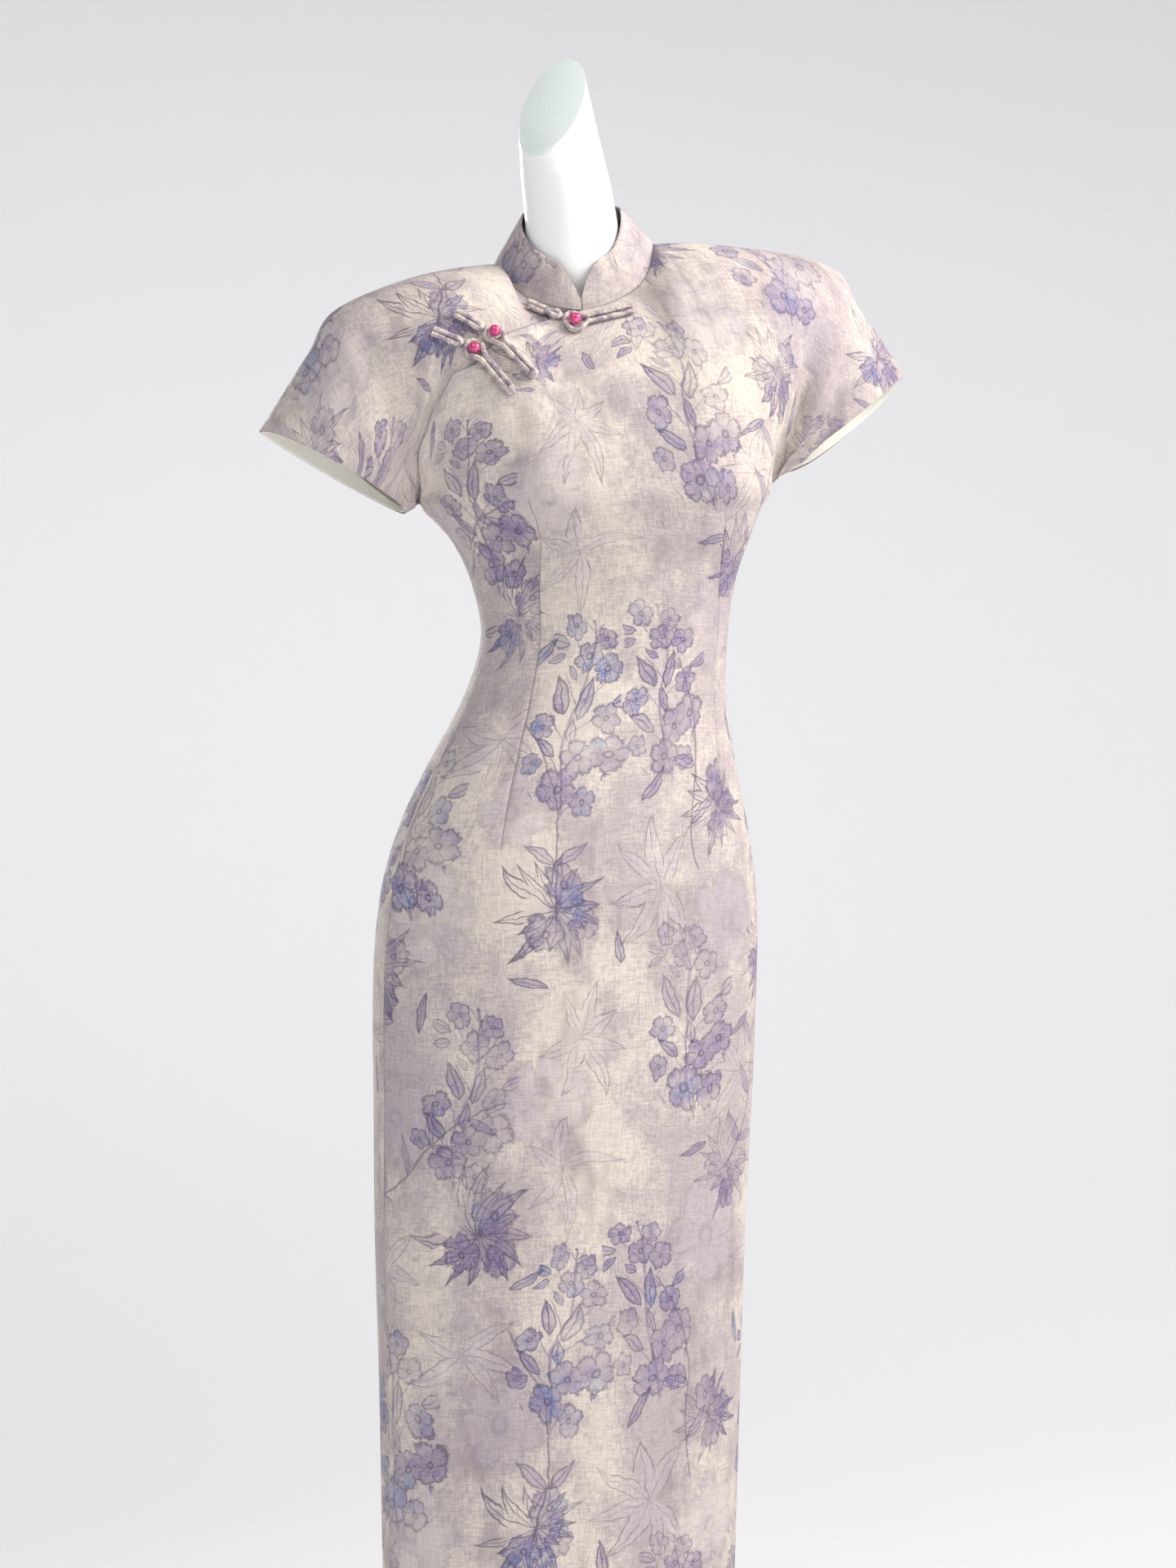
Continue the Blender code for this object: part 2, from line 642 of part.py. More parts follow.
def neck_curve():
    """Points round the neckline from the middle of the front, by the right side, and back."""
    steps = NECK_STEPS
    ahead = bare_row(TOP_LEVEL, np.linspace(4, 2, steps), False)
    behind = bare_row(TOP_LEVEL, np.linspace(2, 6, 2 * steps), True)
    last = bare_row(TOP_LEVEL, np.linspace(6, 4, steps), False)
    return np.concatenate([ahead, behind[1:], last[1:]])


def collar():
    """The standing band, its front corners rounded down to the neckline."""
    curve = neck_curve() + [0, 0, COLLAR["clear"]]
    along = np.concatenate([[0], np.cumsum(np.linalg.norm(np.diff(curve, axis=0), axis=1))])
    ends = np.array(COLLAR_ENDS) + COLLAR["front_gap"] / 2
    middle = np.linspace(ends[-1], along[-1] - ends[-1], COLLAR_COLUMNS)[1:-1]
    at = np.concatenate([ends, middle, along[-1] - ends[::-1]])
    base = np.stack([np.interp(at, along, curve[:, k]) for k in range(3)], axis=1)
    t = math.radians(NECK["twist"])
    rel = base[:, :2] - NECK["middle"]
    side = rel @ [math.cos(t), math.sin(t)] / NECK["half_width"]
    ahead = rel @ [math.sin(t), -math.cos(t)] / NECK["front"]
    size = np.hypot(side, ahead)
    side, ahead = COLLAR_TOP["half_width"] * side / size, COLLAR_TOP["depth"] * ahead / size
    x = COLLAR_TOP["middle"][0] + side * math.cos(t) + ahead * math.sin(t)
    y = COLLAR_TOP["middle"][1] + side * math.sin(t) - ahead * math.cos(t)
    inward = np.hypot(x - base[:, 0], y - base[:, 1])
    rise = np.sqrt(np.maximum(COLLAR["height"] ** 2 - inward**2, 1))
    top = np.stack([x, y, base[:, 2] + rise], axis=1)
    from_end = np.minimum(at, along[-1] - at)
    share = np.clip(from_end / COLLAR["corner"], 0, 1)
    share = np.maximum(np.sqrt(1 - (1 - share) ** 2), LOWEST_EDGE)
    grid = [base + (top - base) * (share * h)[:, None] for h in np.linspace(0, 1, COLLAR_ROWS)]
    flat = np.gradient(base, axis=0)
    normals = unit(np.stack([-flat[:, 1], flat[:, 0], np.zeros(len(flat))], axis=1))
    sheet = Sheet()
    sheet.add([(points, normals) for points in grid])
    return wall("collar", sheet, COLLAR_WALL, "cloth", 0)


def loft(name, rings, colour):
    """A closed solid through rings of as many points each."""
    rings = np.array(rings)
    count, n = rings.shape[:2]
    faces = [
        (r * n + c, r * n + (c + 1) % n, (r + 1) * n + (c + 1) % n, (r + 1) * n + c)
        for r in range(count - 1)
        for c in range(n)
    ]
    faces += [tuple(range(n))[::-1], tuple((count - 1) * n + c for c in range(n))]
    return mesh_object(name, rings.reshape(-1, 3), faces, colour)


def form_ring(row, angles):
    x, y, height, half_width, front_depth, back_depth, roll, pitch, square = row
    a = np.radians(angles)
    side = np.sign(np.sin(a)) * np.abs(np.sin(a)) ** (2 / square) * half_width
    depth = np.where(np.cos(a) > 0, front_depth, back_depth)
    ahead = np.sign(np.cos(a)) * np.abs(np.cos(a)) ** (2 / square) * depth
    lift = side * math.tan(math.radians(roll)) - ahead * math.tan(math.radians(pitch))
    return np.stack([x + side, y - ahead, height + lift], axis=1)


def cut_ring(angles, lower=0.0):
    """The slanting top of the neck, or a ring that much further down its slope's normal."""
    x, y, z = NECK_CUT["middle"]
    a = np.radians(angles)
    off = NECK_CUT["radius"] * np.stack([np.sin(a), -np.cos(a)], axis=1)
    slope = np.array(NECK_CUT["slope"])
    return np.stack([x + off[:, 0], y + off[:, 1], z + off @ slope - lower], axis=1)


def form():
    """Torso and neck in one smooth piece, and the plate on the neck's slanting cut."""
    angles = np.arange(0, 360, FORM_TURN)
    steps = levels_between(FORM_BOTTOM_LEVEL, ARMPIT_LEVEL, 1)
    rings = [ring(SECTIONS[int(level)], angles, FORM_INSET) for level in steps]
    rings += [form_ring(row, angles) for row in FORM_TOP]
    thick = NECK_PLATE + GAP
    last = cut_ring(angles, thick)
    rings += [(rings[-1] + last) / 2, last]
    smooth = through(with_ends(rings), levels_between(0, len(rings) - 1, FORM_RINGS))
    loft("form", smooth, "form")
    edge = cut_ring(angles)
    inner = edge.mean(axis=0) + (edge - edge.mean(axis=0)) * PLATE_SHARE
    loft("neck_plate", [inner - [0, 0, NECK_PLATE], inner], "plate")


def turned(name, profile, colour, segments=40):
    """A solid turned round the upright axis from its profile, top to bottom."""
    mesh = bpy.data.meshes.new(name)
    points = [(r * MM, 0, z * MM) for r, z in profile]
    mesh.from_pydata(points, [(i, i + 1) for i in range(len(points) - 1)], [])
    obj = place(name, mesh, colour)
    screw = obj.modifiers.new("Screw", "SCREW")
    screw.steps = screw.render_steps = segments
    screw.use_merge_vertices = True
    screw.merge_threshold = 0.00005
    return obj


def stand():
    """Base, pole and the socket under the form."""
    r, thick, rise, flat = (BASE[k] for k in ("radius", "thickness", "rise", "flat"))
    dome = [
        (flat + (r - 2 - flat) * k / 5, thick + rise * (1 - (k / 5) ** 2))
        for k in range(6)
    ]
    turned("base", [(0, thick + rise), *dome, (r, thick - 2), (r, 1), (r - 1, 0), (0, 0)], "steel")
    floor_top = thick + rise + GAP
    bottom = SECTIONS[FORM_BOTTOM_LEVEL][0] - GAP
    socket_low = bottom - SOCKET["height"]
    turned("socket", [
        (0, bottom), (SOCKET["radius"] - 2, bottom), (SOCKET["radius"], bottom - 2),
        (SOCKET["radius"], socket_low + 6), (SOCKET["radius"] - 6, socket_low), (0, socket_low),
    ], "steel", 24)
    turned("pole", [
        (0, socket_low - GAP), (POLE_RADIUS, socket_low - GAP), (POLE_RADIUS, floor_top), (0, floor_top),
    ], "steel", 24)


GROUND_POINTS = 8  # how many points of the cloth carry a point of a frog


class Ground:
    """The front's yoke and the under front, to set pieces on them by x and z."""

    def __init__(self, curve):
        columns = np.linspace(0, SIDE_COLUMN, 160)
        rows = []
        for level in np.linspace(ARMPIT_LEVEL, TOP_LEVEL, 80):
            edge = opening_column(level, curve)
            rows.append(sunk_row(level, columns[columns < edge], edge))
            rows.append(cloth_row(level, columns[columns >= edge], False))
        self.points = np.concatenate([r[0] for r in rows])
        self.normals = np.concatenate([r[1] for r in rows])

    def at(self, spot, height):
        """The point that far above the highest cloth near an (x, z)."""
        far = np.linalg.norm(self.points[:, [0, 2]] - spot, axis=1)
        near = np.argsort(far)[:GROUND_POINTS]
        normal = unit(self.normals[near].mean(axis=0))
        base = np.array([spot[0], self.points[near, 1].mean(), spot[1]])
        return base + normal * (height + ((self.points[near] - base) @ normal).max())


def cord_path(ground, end, bead, lift, turn_radius, stop):
    """A doubled cord from its end to the bead: round it at turn_radius, or short of it by stop.
    The cord's middle lies that lift above the cloth."""
    end, bead = np.array(end, float), np.array(bead, float)
    way = unit(bead - end)
    side = np.array([-way[1], way[0]])
    half = CORD["spacing"] / 2
    length = np.linalg.norm(bead - end)
    legs = length - (turn_radius * 1.5 if turn_radius else stop)
    out = [end + way * legs * k / CORD_STEPS + side * half for k in range(CORD_STEPS + 1)]
    if turn_radius:
        turn = [
            bead + turn_radius * (math.cos(a) * way + math.sin(a) * side)
            for a in np.radians(np.linspace(CORD_TURN, -CORD_TURN, 11))
        ]
    else:
        turn = [out[-1] + way * half - side * half * 0.3, out[-1] + way * half - side * half * 1.7]
    home = [point - side * 2 * half for point in out[::-1]]
    return [ground.at(spot, lift) for spot in [*out, *turn, *home]]


def tube(name, path, radius):
    curve = bpy.data.curves.new(name, "CURVE")
    curve.dimensions = "3D"
    curve.bevel_depth = radius * MM
    curve.bevel_resolution = 2
    curve.use_fill_caps = True
    spline = curve.splines.new("POLY")
    spline.points.add(len(path) - 1)
    for point, place_at in zip(spline.points, path):
        point.co = (*(place_at * MM), 1)
    return place(name, curve, "cloth")


def frogs(curve):
    """Each frog: a loop of doubled cord, a shorter doubled cord and the bead that fastens them."""
    ground = Ground(curve)
    for name, frog in FROGS.items():
        radius, clear = frog["bead_radius"], GAP + frog["clear"]
        lift = CORD["radius"] + clear
        turn = math.sqrt((radius + CORD["radius"] + 0.5) ** 2 - (radius - CORD["radius"]) ** 2)
        loop = cord_path(ground, frog["loop"], frog["bead"], lift, turn, 0)
        tube(f"frog_{name}_loop", loop, CORD["radius"])
        stop = turn + 2 * CORD["radius"] + GAP + CORD["spacing"] / 2
        knob = cord_path(ground, frog["knob"], frog["bead"], lift, 0, stop)
        tube(f"frog_{name}_knob", knob, CORD["radius"])
        middle = ground.at(np.array(frog["bead"], float), radius + clear)
        bpy.ops.mesh.primitive_uv_sphere_add(
            segments=16, ring_count=10, radius=radius * MM, location=middle * MM
        )
        bead = bpy.context.object
        bead.name = bead.data.name = f"bead_{name}"
        bead.data.shade_smooth()
        for old in list(bead.users_collection):
            old.objects.unlink(bead)
        bpy.data.collections["cheongsam_on_form"].objects.link(bead)
        finish(bead, "bead")


def build():
    for obj in list(bpy.data.objects):
        bpy.data.objects.remove(obj)
    collection = bpy.data.collections.new("cheongsam_on_form")
    bpy.context.scene.collection.children.link(collection)
    curve = opening_curve()
    edges = [0.0] + [opening_column(level, curve) for level in YOKE_ROWS[1:-1]] + [4.0]
    front(edges)
    under_front(edges)
    back()
    facing("right")
    facing("left")
    collar()
    frogs(curve)
    form()
    stand()


build()
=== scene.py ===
import math

import bmesh
import bpy
import numpy as np
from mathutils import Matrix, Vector


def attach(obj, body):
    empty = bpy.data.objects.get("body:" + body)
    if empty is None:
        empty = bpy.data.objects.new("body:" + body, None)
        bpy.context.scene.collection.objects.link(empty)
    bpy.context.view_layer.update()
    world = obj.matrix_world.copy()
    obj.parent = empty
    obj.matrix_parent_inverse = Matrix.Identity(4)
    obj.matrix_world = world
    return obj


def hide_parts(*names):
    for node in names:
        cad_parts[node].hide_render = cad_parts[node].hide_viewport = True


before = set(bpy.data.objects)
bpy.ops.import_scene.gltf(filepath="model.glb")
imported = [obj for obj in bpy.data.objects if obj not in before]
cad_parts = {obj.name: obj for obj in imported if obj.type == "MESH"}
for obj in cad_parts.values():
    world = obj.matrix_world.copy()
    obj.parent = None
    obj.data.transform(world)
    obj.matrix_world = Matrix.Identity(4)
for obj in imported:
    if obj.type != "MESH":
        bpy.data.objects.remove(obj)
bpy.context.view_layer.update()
print("frame loaded")

# The form of the cloth, in millimetres, repeated from the part's own tables

rings = np.array([  # height, shiftX, shiftY, halfWidth, front, back, twist, roll, dart angle
    (200, -13, 2, 158, 104, 104, 10, 0, 40), (330, -13, 2, 161, 107, 108, 10, 0, 40),
    (480, -12, 2, 165, 109, 111, 11, 0, 40), (620, -11, 3, 170, 111, 115, 12, 0, 40),
    (730, -8, 4, 174, 112, 119, 13, 0, 40), (820, -6, 5, 176, 112, 122, 13, 0, 40),
    (880, -4, 5, 175, 111, 121, 13, 0, 40), (930, -2, 5, 168, 108, 118, 12, 0, 40.5),
    (980, 2, 5, 154, 102, 110, 11, 0, 41.5), (1030, 9, 4, 135, 93, 98, 10, 0, 43.5),
    (1080, 18, 2, 117, 85, 86, 8, 0.5, 46), (1130, 26, 1, 110, 81, 79, 7, 1, 47.5),
    (1175, 26, 2, 116, 87, 82, 5, 1.6, 44), (1212, 26, 5, 130, 98, 88, 3, 2.3, 38),
    (1233, 23, 6, 142, 103, 92, 2, 2.8, 35), (1252, 21, 8, 157, 108, 95, 1, 3.3, 33),
], float)
body = {"squareness": 2.1, "backDart": 42.0}  # the darts' angle round the back, in degrees
bust = {"height": 1285, "angle": 36, "spread": 25, "rise": 52, "depth": 13}
armpit = len(rings) - 1  # level of the armpits
yokeLevels = 5
top = armpit + yokeLevels  # level of the shoulder seams
side = 8  # control columns from the wearer's right side seam to the left one
sleeveSteps = 3  # control columns of a sleeve, on from the side's
armholeDepth = 62
sleeves = {  # shoulder point, the hem's ends, half its depth, how far hem and shoulder arch up
    "right": {
        "shoulder": (-206, 18, 1408), "outer": (-272, 15, 1305), "inner": (-149, 10, 1235),
        "depth": 58, "arch": 3, "rise": 9,
    },
    "left": {
        "shoulder": (236, 25, 1454), "outer": (309, 35, 1360), "inner": (196, 2, 1276),
        "depth": 44, "arch": 8, "rise": 6,
    },
}
neck = {"middle": (5, 21), "halfWidth": 68, "front": 58, "back": 57, "twist": -9}
neckHeight = {"front": 1408, "right": 1450, "left": 1468, "back": 1480}
# for each column of the yoke, how far it swells and the angle that it sweeps to the shoulder
yokeFront = [(62, 90), (30, 90), (8, 80), (0, 62), (0, 52), (0, 62), (8, 80), (30, 90), (62, 90)]
yokeBack = [(62, 90), (26, 90), (10, 80), (4, 55), (2, 42), (4, 55), (10, 80), (26, 90), (62, 90)]
openingLine = [  # x and z from the collar to the right armpit
    (-4, 1407), (-25, 1401), (-46, 1396), (-80, 1384), (-97, 1370), (-107, 1358),
    (-117, 1347), (-131, 1333), (-142, 1320), (-148, 1302), (-146, 1268), (-137, 1244),
]


def unit(v):
    return v / np.maximum(np.linalg.norm(v, axis=-1, keepdims=True), 1e-12)


def smooth(t):
    t = np.clip(t, 0, 1)
    return t * t * (3 - 2 * t)


def between(a, b, c, d, t):  # one stretch of a smooth curve through four points
    return b + 0.5 * t * (c - a + t * (2 * a - 5 * b + 4 * c - d + t * (3 * (b - c) + d - a)))


def through(points, at):  # along the first axis, which has a spare point at each end
    p, at = np.asarray(points, float), np.asarray(at, float)
    i = np.clip(np.floor(at).astype(int), 0, len(p) - 4)
    t = (at - i).reshape(-1, *[1] * (p.ndim - 1))
    return between(p[i], p[i + 1], p[i + 2], p[i + 3], t)


def withEnds(points, before=None, after=None):  # with the spare points that through() needs
    p = [np.asarray(point, float) for point in points]
    first = 2 * p[0] - p[1] if before is None else before
    last = 2 * p[-1] - p[-2] if after is None else after
    return np.array([first, *p, last])


def ringPoints(row, angles, inset=0.0):  # round the body at one height; 0 degrees is ahead
    height, shiftX, shiftY, halfWidth, front, back, twist, roll = row[:8]
    angles = np.asarray(angles, float)
    a, power = np.radians(angles), 2 / body["squareness"]
    across = np.sign(np.sin(a)) * np.abs(np.sin(a)) ** power * (halfWidth - inset)
    ahead = np.sign(np.cos(a)) * np.abs(np.cos(a)) ** power
    ahead = ahead * (np.where(np.cos(a) > 0, front, back) - inset)
    off = np.abs((angles + 180) % 360 - 180) - bust["angle"]
    swell = np.exp(-((off / bust["spread"]) ** 2) - ((height - bust["height"]) / bust["rise"]) ** 2)
    ahead = ahead + bust["depth"] * swell * np.sqrt(np.clip(np.cos(a), 0, 1))
    t = math.radians(twist)
    x = shiftX + across * math.cos(t) + ahead * math.sin(t)
    y = shiftY + across * math.sin(t) - ahead * math.cos(t)
    return np.stack([x, y, height + across * math.tan(math.radians(roll))], axis=1)


def columnAngles(dart, back):  # of the control columns, the darts on the third ones from the sides
    d = body["backDart"] if back else dart
    half = [90, (90 + d) / 2, d, d / 2]
    angles = np.array([-a for a in half] + [0] + half[::-1], float)
    return 180 - angles if back else angles


def neckline(back):  # half of the seam with the collar
    angles = np.radians(np.array([-90, -47, 0, 47, 90], float))
    depth = -neck["back"] if back else neck["front"]
    across, ahead = neck["halfWidth"] * np.sin(angles), depth * np.cos(angles)
    t, middle = math.radians(neck["twist"]), neckHeight["back" if back else "front"]
    ends = np.where(angles < 0, neckHeight["right"], neckHeight["left"])
    x = neck["middle"][0] + across * math.cos(t) + ahead * math.sin(t)
    y = neck["middle"][1] + across * math.sin(t) - ahead * math.cos(t)
    return np.stack([x, y, middle + (ends - middle) * (1 - np.cos(angles)) ** 0.9], axis=1)


def topLine(back):  # along a sleeve, the shoulder, the neckline and out along the other sleeve
    ring = neckline(back)
    right, left = (np.array(sleeves[k]["shoulder"], float) for k in ("right", "left"))
    outRight, outLeft = (np.array(sleeves[k]["outer"], float) for k in ("right", "left"))
    steps = np.arange(1, sleeveSteps + 1) / sleeveSteps
    parts = [right + (outRight - right) * k for k in steps[::-1]]
    parts += [right, (right + ring[0]) / 2 + [0, 0, sleeves["right"]["rise"]], *ring]
    parts += [(left + ring[4]) / 2 + [0, 0, sleeves["left"]["rise"]], left]
    return np.array(parts + [left + (outLeft - left) * k for k in steps])


def underLine(row):  # along a sleeve's lower edge, the armpits' ring and the other sleeve
    steps = np.arange(1, sleeveSteps + 1) / sleeveSteps
    right = [row[0] + (np.array(sleeves["right"]["inner"]) - row[0]) * k for k in steps]
    left = [row[-1] + (np.array(sleeves["left"]["inner"]) - row[-1]) * k for k in steps]
    return np.array([*right[::-1], *row, *left])


def controlNet(back):  # the torso's rings, and the yoke from them up to the shoulder seams
    lower = np.array([ringPoints(r, columnAngles(r[8], back)) for r in rings])
    low, high = underLine(lower[-1]), topLine(back)
    table, ahead = (yokeBack, 1) if back else (yokeFront, -1)
    upper = []
    for v in np.arange(yokeLevels + 1) / yokeLevels:
        row = []
        for i in range(len(low)):
            column = i - sleeveSteps
            rise = high[i] - low[i]
            if 0 < column < side:
                swell, sweep = table[column]
                limit = math.radians(sweep)
                fall = (1 - math.cos(v * limit)) / (1 - math.cos(limit))
                share = np.array([v, fall, math.sin(v * limit) / math.sin(limit)])
                row.append(low[i] + rise * share + [0, ahead * swell * math.sin(math.pi * v), 0])
                continue
            which = "right" if column <= 0 else "left"
            along = max(-column, column - side, 0) / sleeveSteps
            swell = armholeDepth * (1 - along) + sleeves[which]["depth"] * along
            turn = math.pi * v
            arch = [0, ahead * swell * math.sin(turn), sleeves[which]["arch"] * along * math.sin(turn)]
            row.append(low[i] + rise * (1 - math.cos(turn)) / 2 + arch)
        upper.append(row)
    return lower, np.array(upper)


nets = {back: controlNet(back) for back in (False, True)}


def columnCurve(levels, column, back):  # up one control column, from the hem to the shoulder
    (lower, upper), over = nets[back], nets[not back][1]
    i = column + sleeveSteps
    if column < 0 or column > side:
        return through(withEnds(upper[:, i], over[1, i], over[-2, i]), np.maximum(levels - armpit, 0))
    after = None if 2 < column < 6 else over[-2, i]
    points = through(withEnds(np.concatenate([lower[:, column], upper[1:, i]]), None, after), levels)
    if column in (0, side):  # below the armpit both panels share this seam
        seam = withEnds(lower[:, column], None, (upper[1, i] + over[1, i]) / 2)
        below = levels < armpit
        points[below] = through(seam, levels[below])
    return points


def across(rows, at):  # every row's smooth curve at that row's own columns
    i = np.clip(np.floor(at).astype(int), 0, rows.shape[1] - 4)
    r = np.arange(len(rows))[:, None]
    return between(rows[r, i], rows[r, i + 1], rows[r, i + 2], rows[r, i + 3], (at - i)[..., None])


def yokeRows(levels, back):  # across the yoke with both sleeves
    cols = [columnCurve(levels, c, back) for c in range(-sleeveSteps, side + sleeveSteps + 1)]
    return np.moveaxis(withEnds(cols), 0, 1)


def bareGrid(levels, columns, back):  # points at (level, column), before folds
    levels = np.asarray(levels, float)
    columns = np.broadcast_to(columns, (len(levels), np.shape(columns)[-1]))
    if levels[0] < armpit:
        cols = [columnCurve(levels, c, back) for c in range(side + 1)]
        ends = [columnCurve(levels, c, not back) for c in (1, side - 1)]
        return across(np.moveaxis(withEnds(cols, *ends), 0, 1), columns)
    rows, other = yokeRows(levels, back), yokeRows(levels, not back)
    share = ((levels - armpit) / yokeLevels)[:, None]
    first, middle = sleeveSteps, side // 2
    points, off = across(rows, columns + first), np.abs(columns - middle)
    bends = (
        # which columns, their far control column, the other panel's that it nears, how far
        (off > 4, 3, 3, (1 - share) ** 8 / 2),
        ((off > 2) & (off < 3), 1, 1, share**8 / 2),
        ((off > 1) & (off < 2), 3, 1, share**4),
    )
    for near, far, source, amount in bends:
        bent = rows.copy()
        for way in (-1, 1):
            i, j = (first + 1 + middle + way * k for k in (far, source))
            bent[:, i] += (other[:, j] - rows[:, i]) * amount
        points = np.where(near[..., None], across(bent, columns + first), points)
    return points


def gridNormals(levels, columns, back, step=0.02):  # outward directions of that surface
    yoke = levels[0] >= armpit
    lowest, highest = (armpit, top) if yoke else (0, armpit)
    extra = sleeveSteps if yoke else 0
    along = bareGrid(levels, np.minimum(columns + step, side + extra), back)
    along = along - bareGrid(levels, np.maximum(columns - step, -extra), back)
    up = bareGrid(np.minimum(levels + step, highest), columns, back)
    if not yoke:  # the last row's slope comes from below, so that it stays on this net
        up[-1] = bareGrid(levels[-1:] - step / 2, columns[-1:], back)[0]
    down = bareGrid(np.maximum(levels - step, lowest), columns, back)
    return unit(np.cross(along, up - down)) * (-1 if back else 1)


# Folds pressed into the cloth: side, ends in x and z, half width and depth, a ridge below 0.
# The first ones are the solid's own, the rest are smaller creases.
foldTable = [
    ("front", 206, 1395, 172, 1262, 11, 8.0), ("front", 240, 1376, 204, 1286, 12, 3.6),
    ("front", -168, 1352, -146, 1258, 13, 4.0), ("front", -196, 1392, -172, 1290, 13, 4.2),
    ("front", -104, 520, -108, 210, 12, 2.5), ("front", 82, 470, 90, 205, 16, 2.0),
    ("back", 200, 1385, 170, 1265, 14, 5.0), ("back", -172, 1365, -140, 1255, 14, 5.0),
    ("back", -60, 1165, 70, 1150, 12, 2.5), ("back", -70, 1105, 84, 1118, 11, 2.5),
    ("back", 40, 560, 46, 205, 16, 2.5),
    ("front", 150, 1330, 120, 1268, 9, 0.9), ("front", -120, 1330, -100, 1262, 9, 0.8),
    ("front", -62, 1340, -84, 1300, 9, 0.9), ("front", -88, 1352, -112, 1318, 7, 1.0),
    ("front", -38, 1372, -26, 1340, 6, 0.8), ("front", -70, 1384, -52, 1362, 5, 0.9),
    ("front", -60, 1138, -8, 1128, 5, 0.5), ("front", -50, 1120, 10, 1112, 6, 0.45),
    ("front", 60, 1126, 116, 1132, 6, 0.5), ("front", -40, 1092, 40, 1098, 8, 0.45),
    ("front", 92, 1190, 128, 1214, 7, 0.6), ("front", -58, 1196, -92, 1216, 7, 0.6),
    ("front", -126, 900, -120, 640, 16, 0.9), ("front", 20, 420, 26, 200, 20, 1.0),
    ("front", -40, 330, -44, 200, 14, 1.0), ("front", 130, 760, 126, 500, 18, 0.9),
    ("front", 262, 1400, 286, 1344, 8, 1.2), ("front", -236, 1340, -252, 1302, 8, 1.2),
    ("front", -87, 1382, -58, 1350, 5.5, -3.2), ("front", -104, 1370, -77, 1337, 5.5, -3.2),
    ("front", -90, 1384, -120, 1402, 5, -2.4), ("front", -107, 1372, -139, 1387, 5, -2.4),
    ("front", -98, 1371, -68, 1338, 3.5, 2.2), ("front", -78, 1387, -48, 1356, 4, 1.4),
    ("front", -58, 1345, -42, 1320, 4, 1.1), ("front", -54, 1352, -30, 1342, 4, 1.0),
    ("front", -78, 1330, -68, 1296, 5, 1.2), ("front", -122, 1407, -134, 1420, 4, 1.3),
    ("front", -141, 1391, -156, 1398, 4, 1.3), ("front", -112, 1362, -140, 1374, 5, 1.4),
    ("front", -108, 1392, -138, 1400, 3.5, 1.2), ("front", -92, 1336, -98, 1308, 4, 0.9),
    ("front", -66, 1380, -40, 1384, 4, 0.9), ("front", -70, 1331, -50, 1304, 4, -0.8),
    ("front", 198, 1346, 181, 1262, 5, 5.5), ("front", 218, 1336, 200, 1268, 8, -2.0),
    ("front", 182, 1290, 204, 1270, 3.5, 1.2), ("front", 186, 1300, 214, 1284, 4, 1.0),
    ("front", -176, 1330, -158, 1252, 8, 2.0), ("front", -214, 1380, -206, 1290, 14, 1.6),
    ("back", -110, 880, -116, 560, 18, 1.0), ("back", 110, 840, 104, 420, 18, 1.2),
    ("back", -20, 470, -26, 200, 18, 1.5), ("back", -40, 1320, 60, 1312, 14, 0.8),
    ("back", 0, 1240, 70, 1236, 10, 0.7), ("back", -230, 1345, -248, 1300, 9, 1.0),
    ("back", 262, 1400, 284, 1348, 9, 1.2), ("back", -30, 1032, 60, 1026, 14, 0.8),
]
dartSpan = {False: (950, 1255), True: (965, 1240)}
dartIntake = {False: 26.0, True: 30.0}  # width of cloth that a dart takes up at the waist
groove = {"half": 0.8, "depth": 1.15}  # of a dart's seam
columnWidth = 38.0  # of a control column at the darts, about
leftHem = {"longer": 24.0, "way": (0.61, 0, -0.79)}  # the back of the left sleeve hangs longer


def dartShare(z, back):  # from 0 at a dart's ends to 1 at the waist
    low, high = dartSpan[back]
    return np.sin(np.pi * np.clip((z - low) / (high - low), 0, 1))


def foldDepth(points, back):  # how deep all folds lie together
    flat, total = points[..., [0, 2]], np.zeros(points.shape[:-1])
    for where, x0, z0, x1, z1, halfWidth, depth in foldTable:
        if (where == "back") != back:
            continue
        start, way = np.array([x0, z0]), np.array([x1 - x0, z1 - z0])
        rel = flat - start
        along = rel @ way / (way @ way)
        off = np.linalg.norm(rel - np.clip(along, 0, 1)[..., None] * way, axis=-1)
        ends = smooth((np.minimum(along, 1 - along) + 0.12) / 0.4)
        total += depth * np.exp(-((off / halfWidth) ** 2)) * ends
    return total


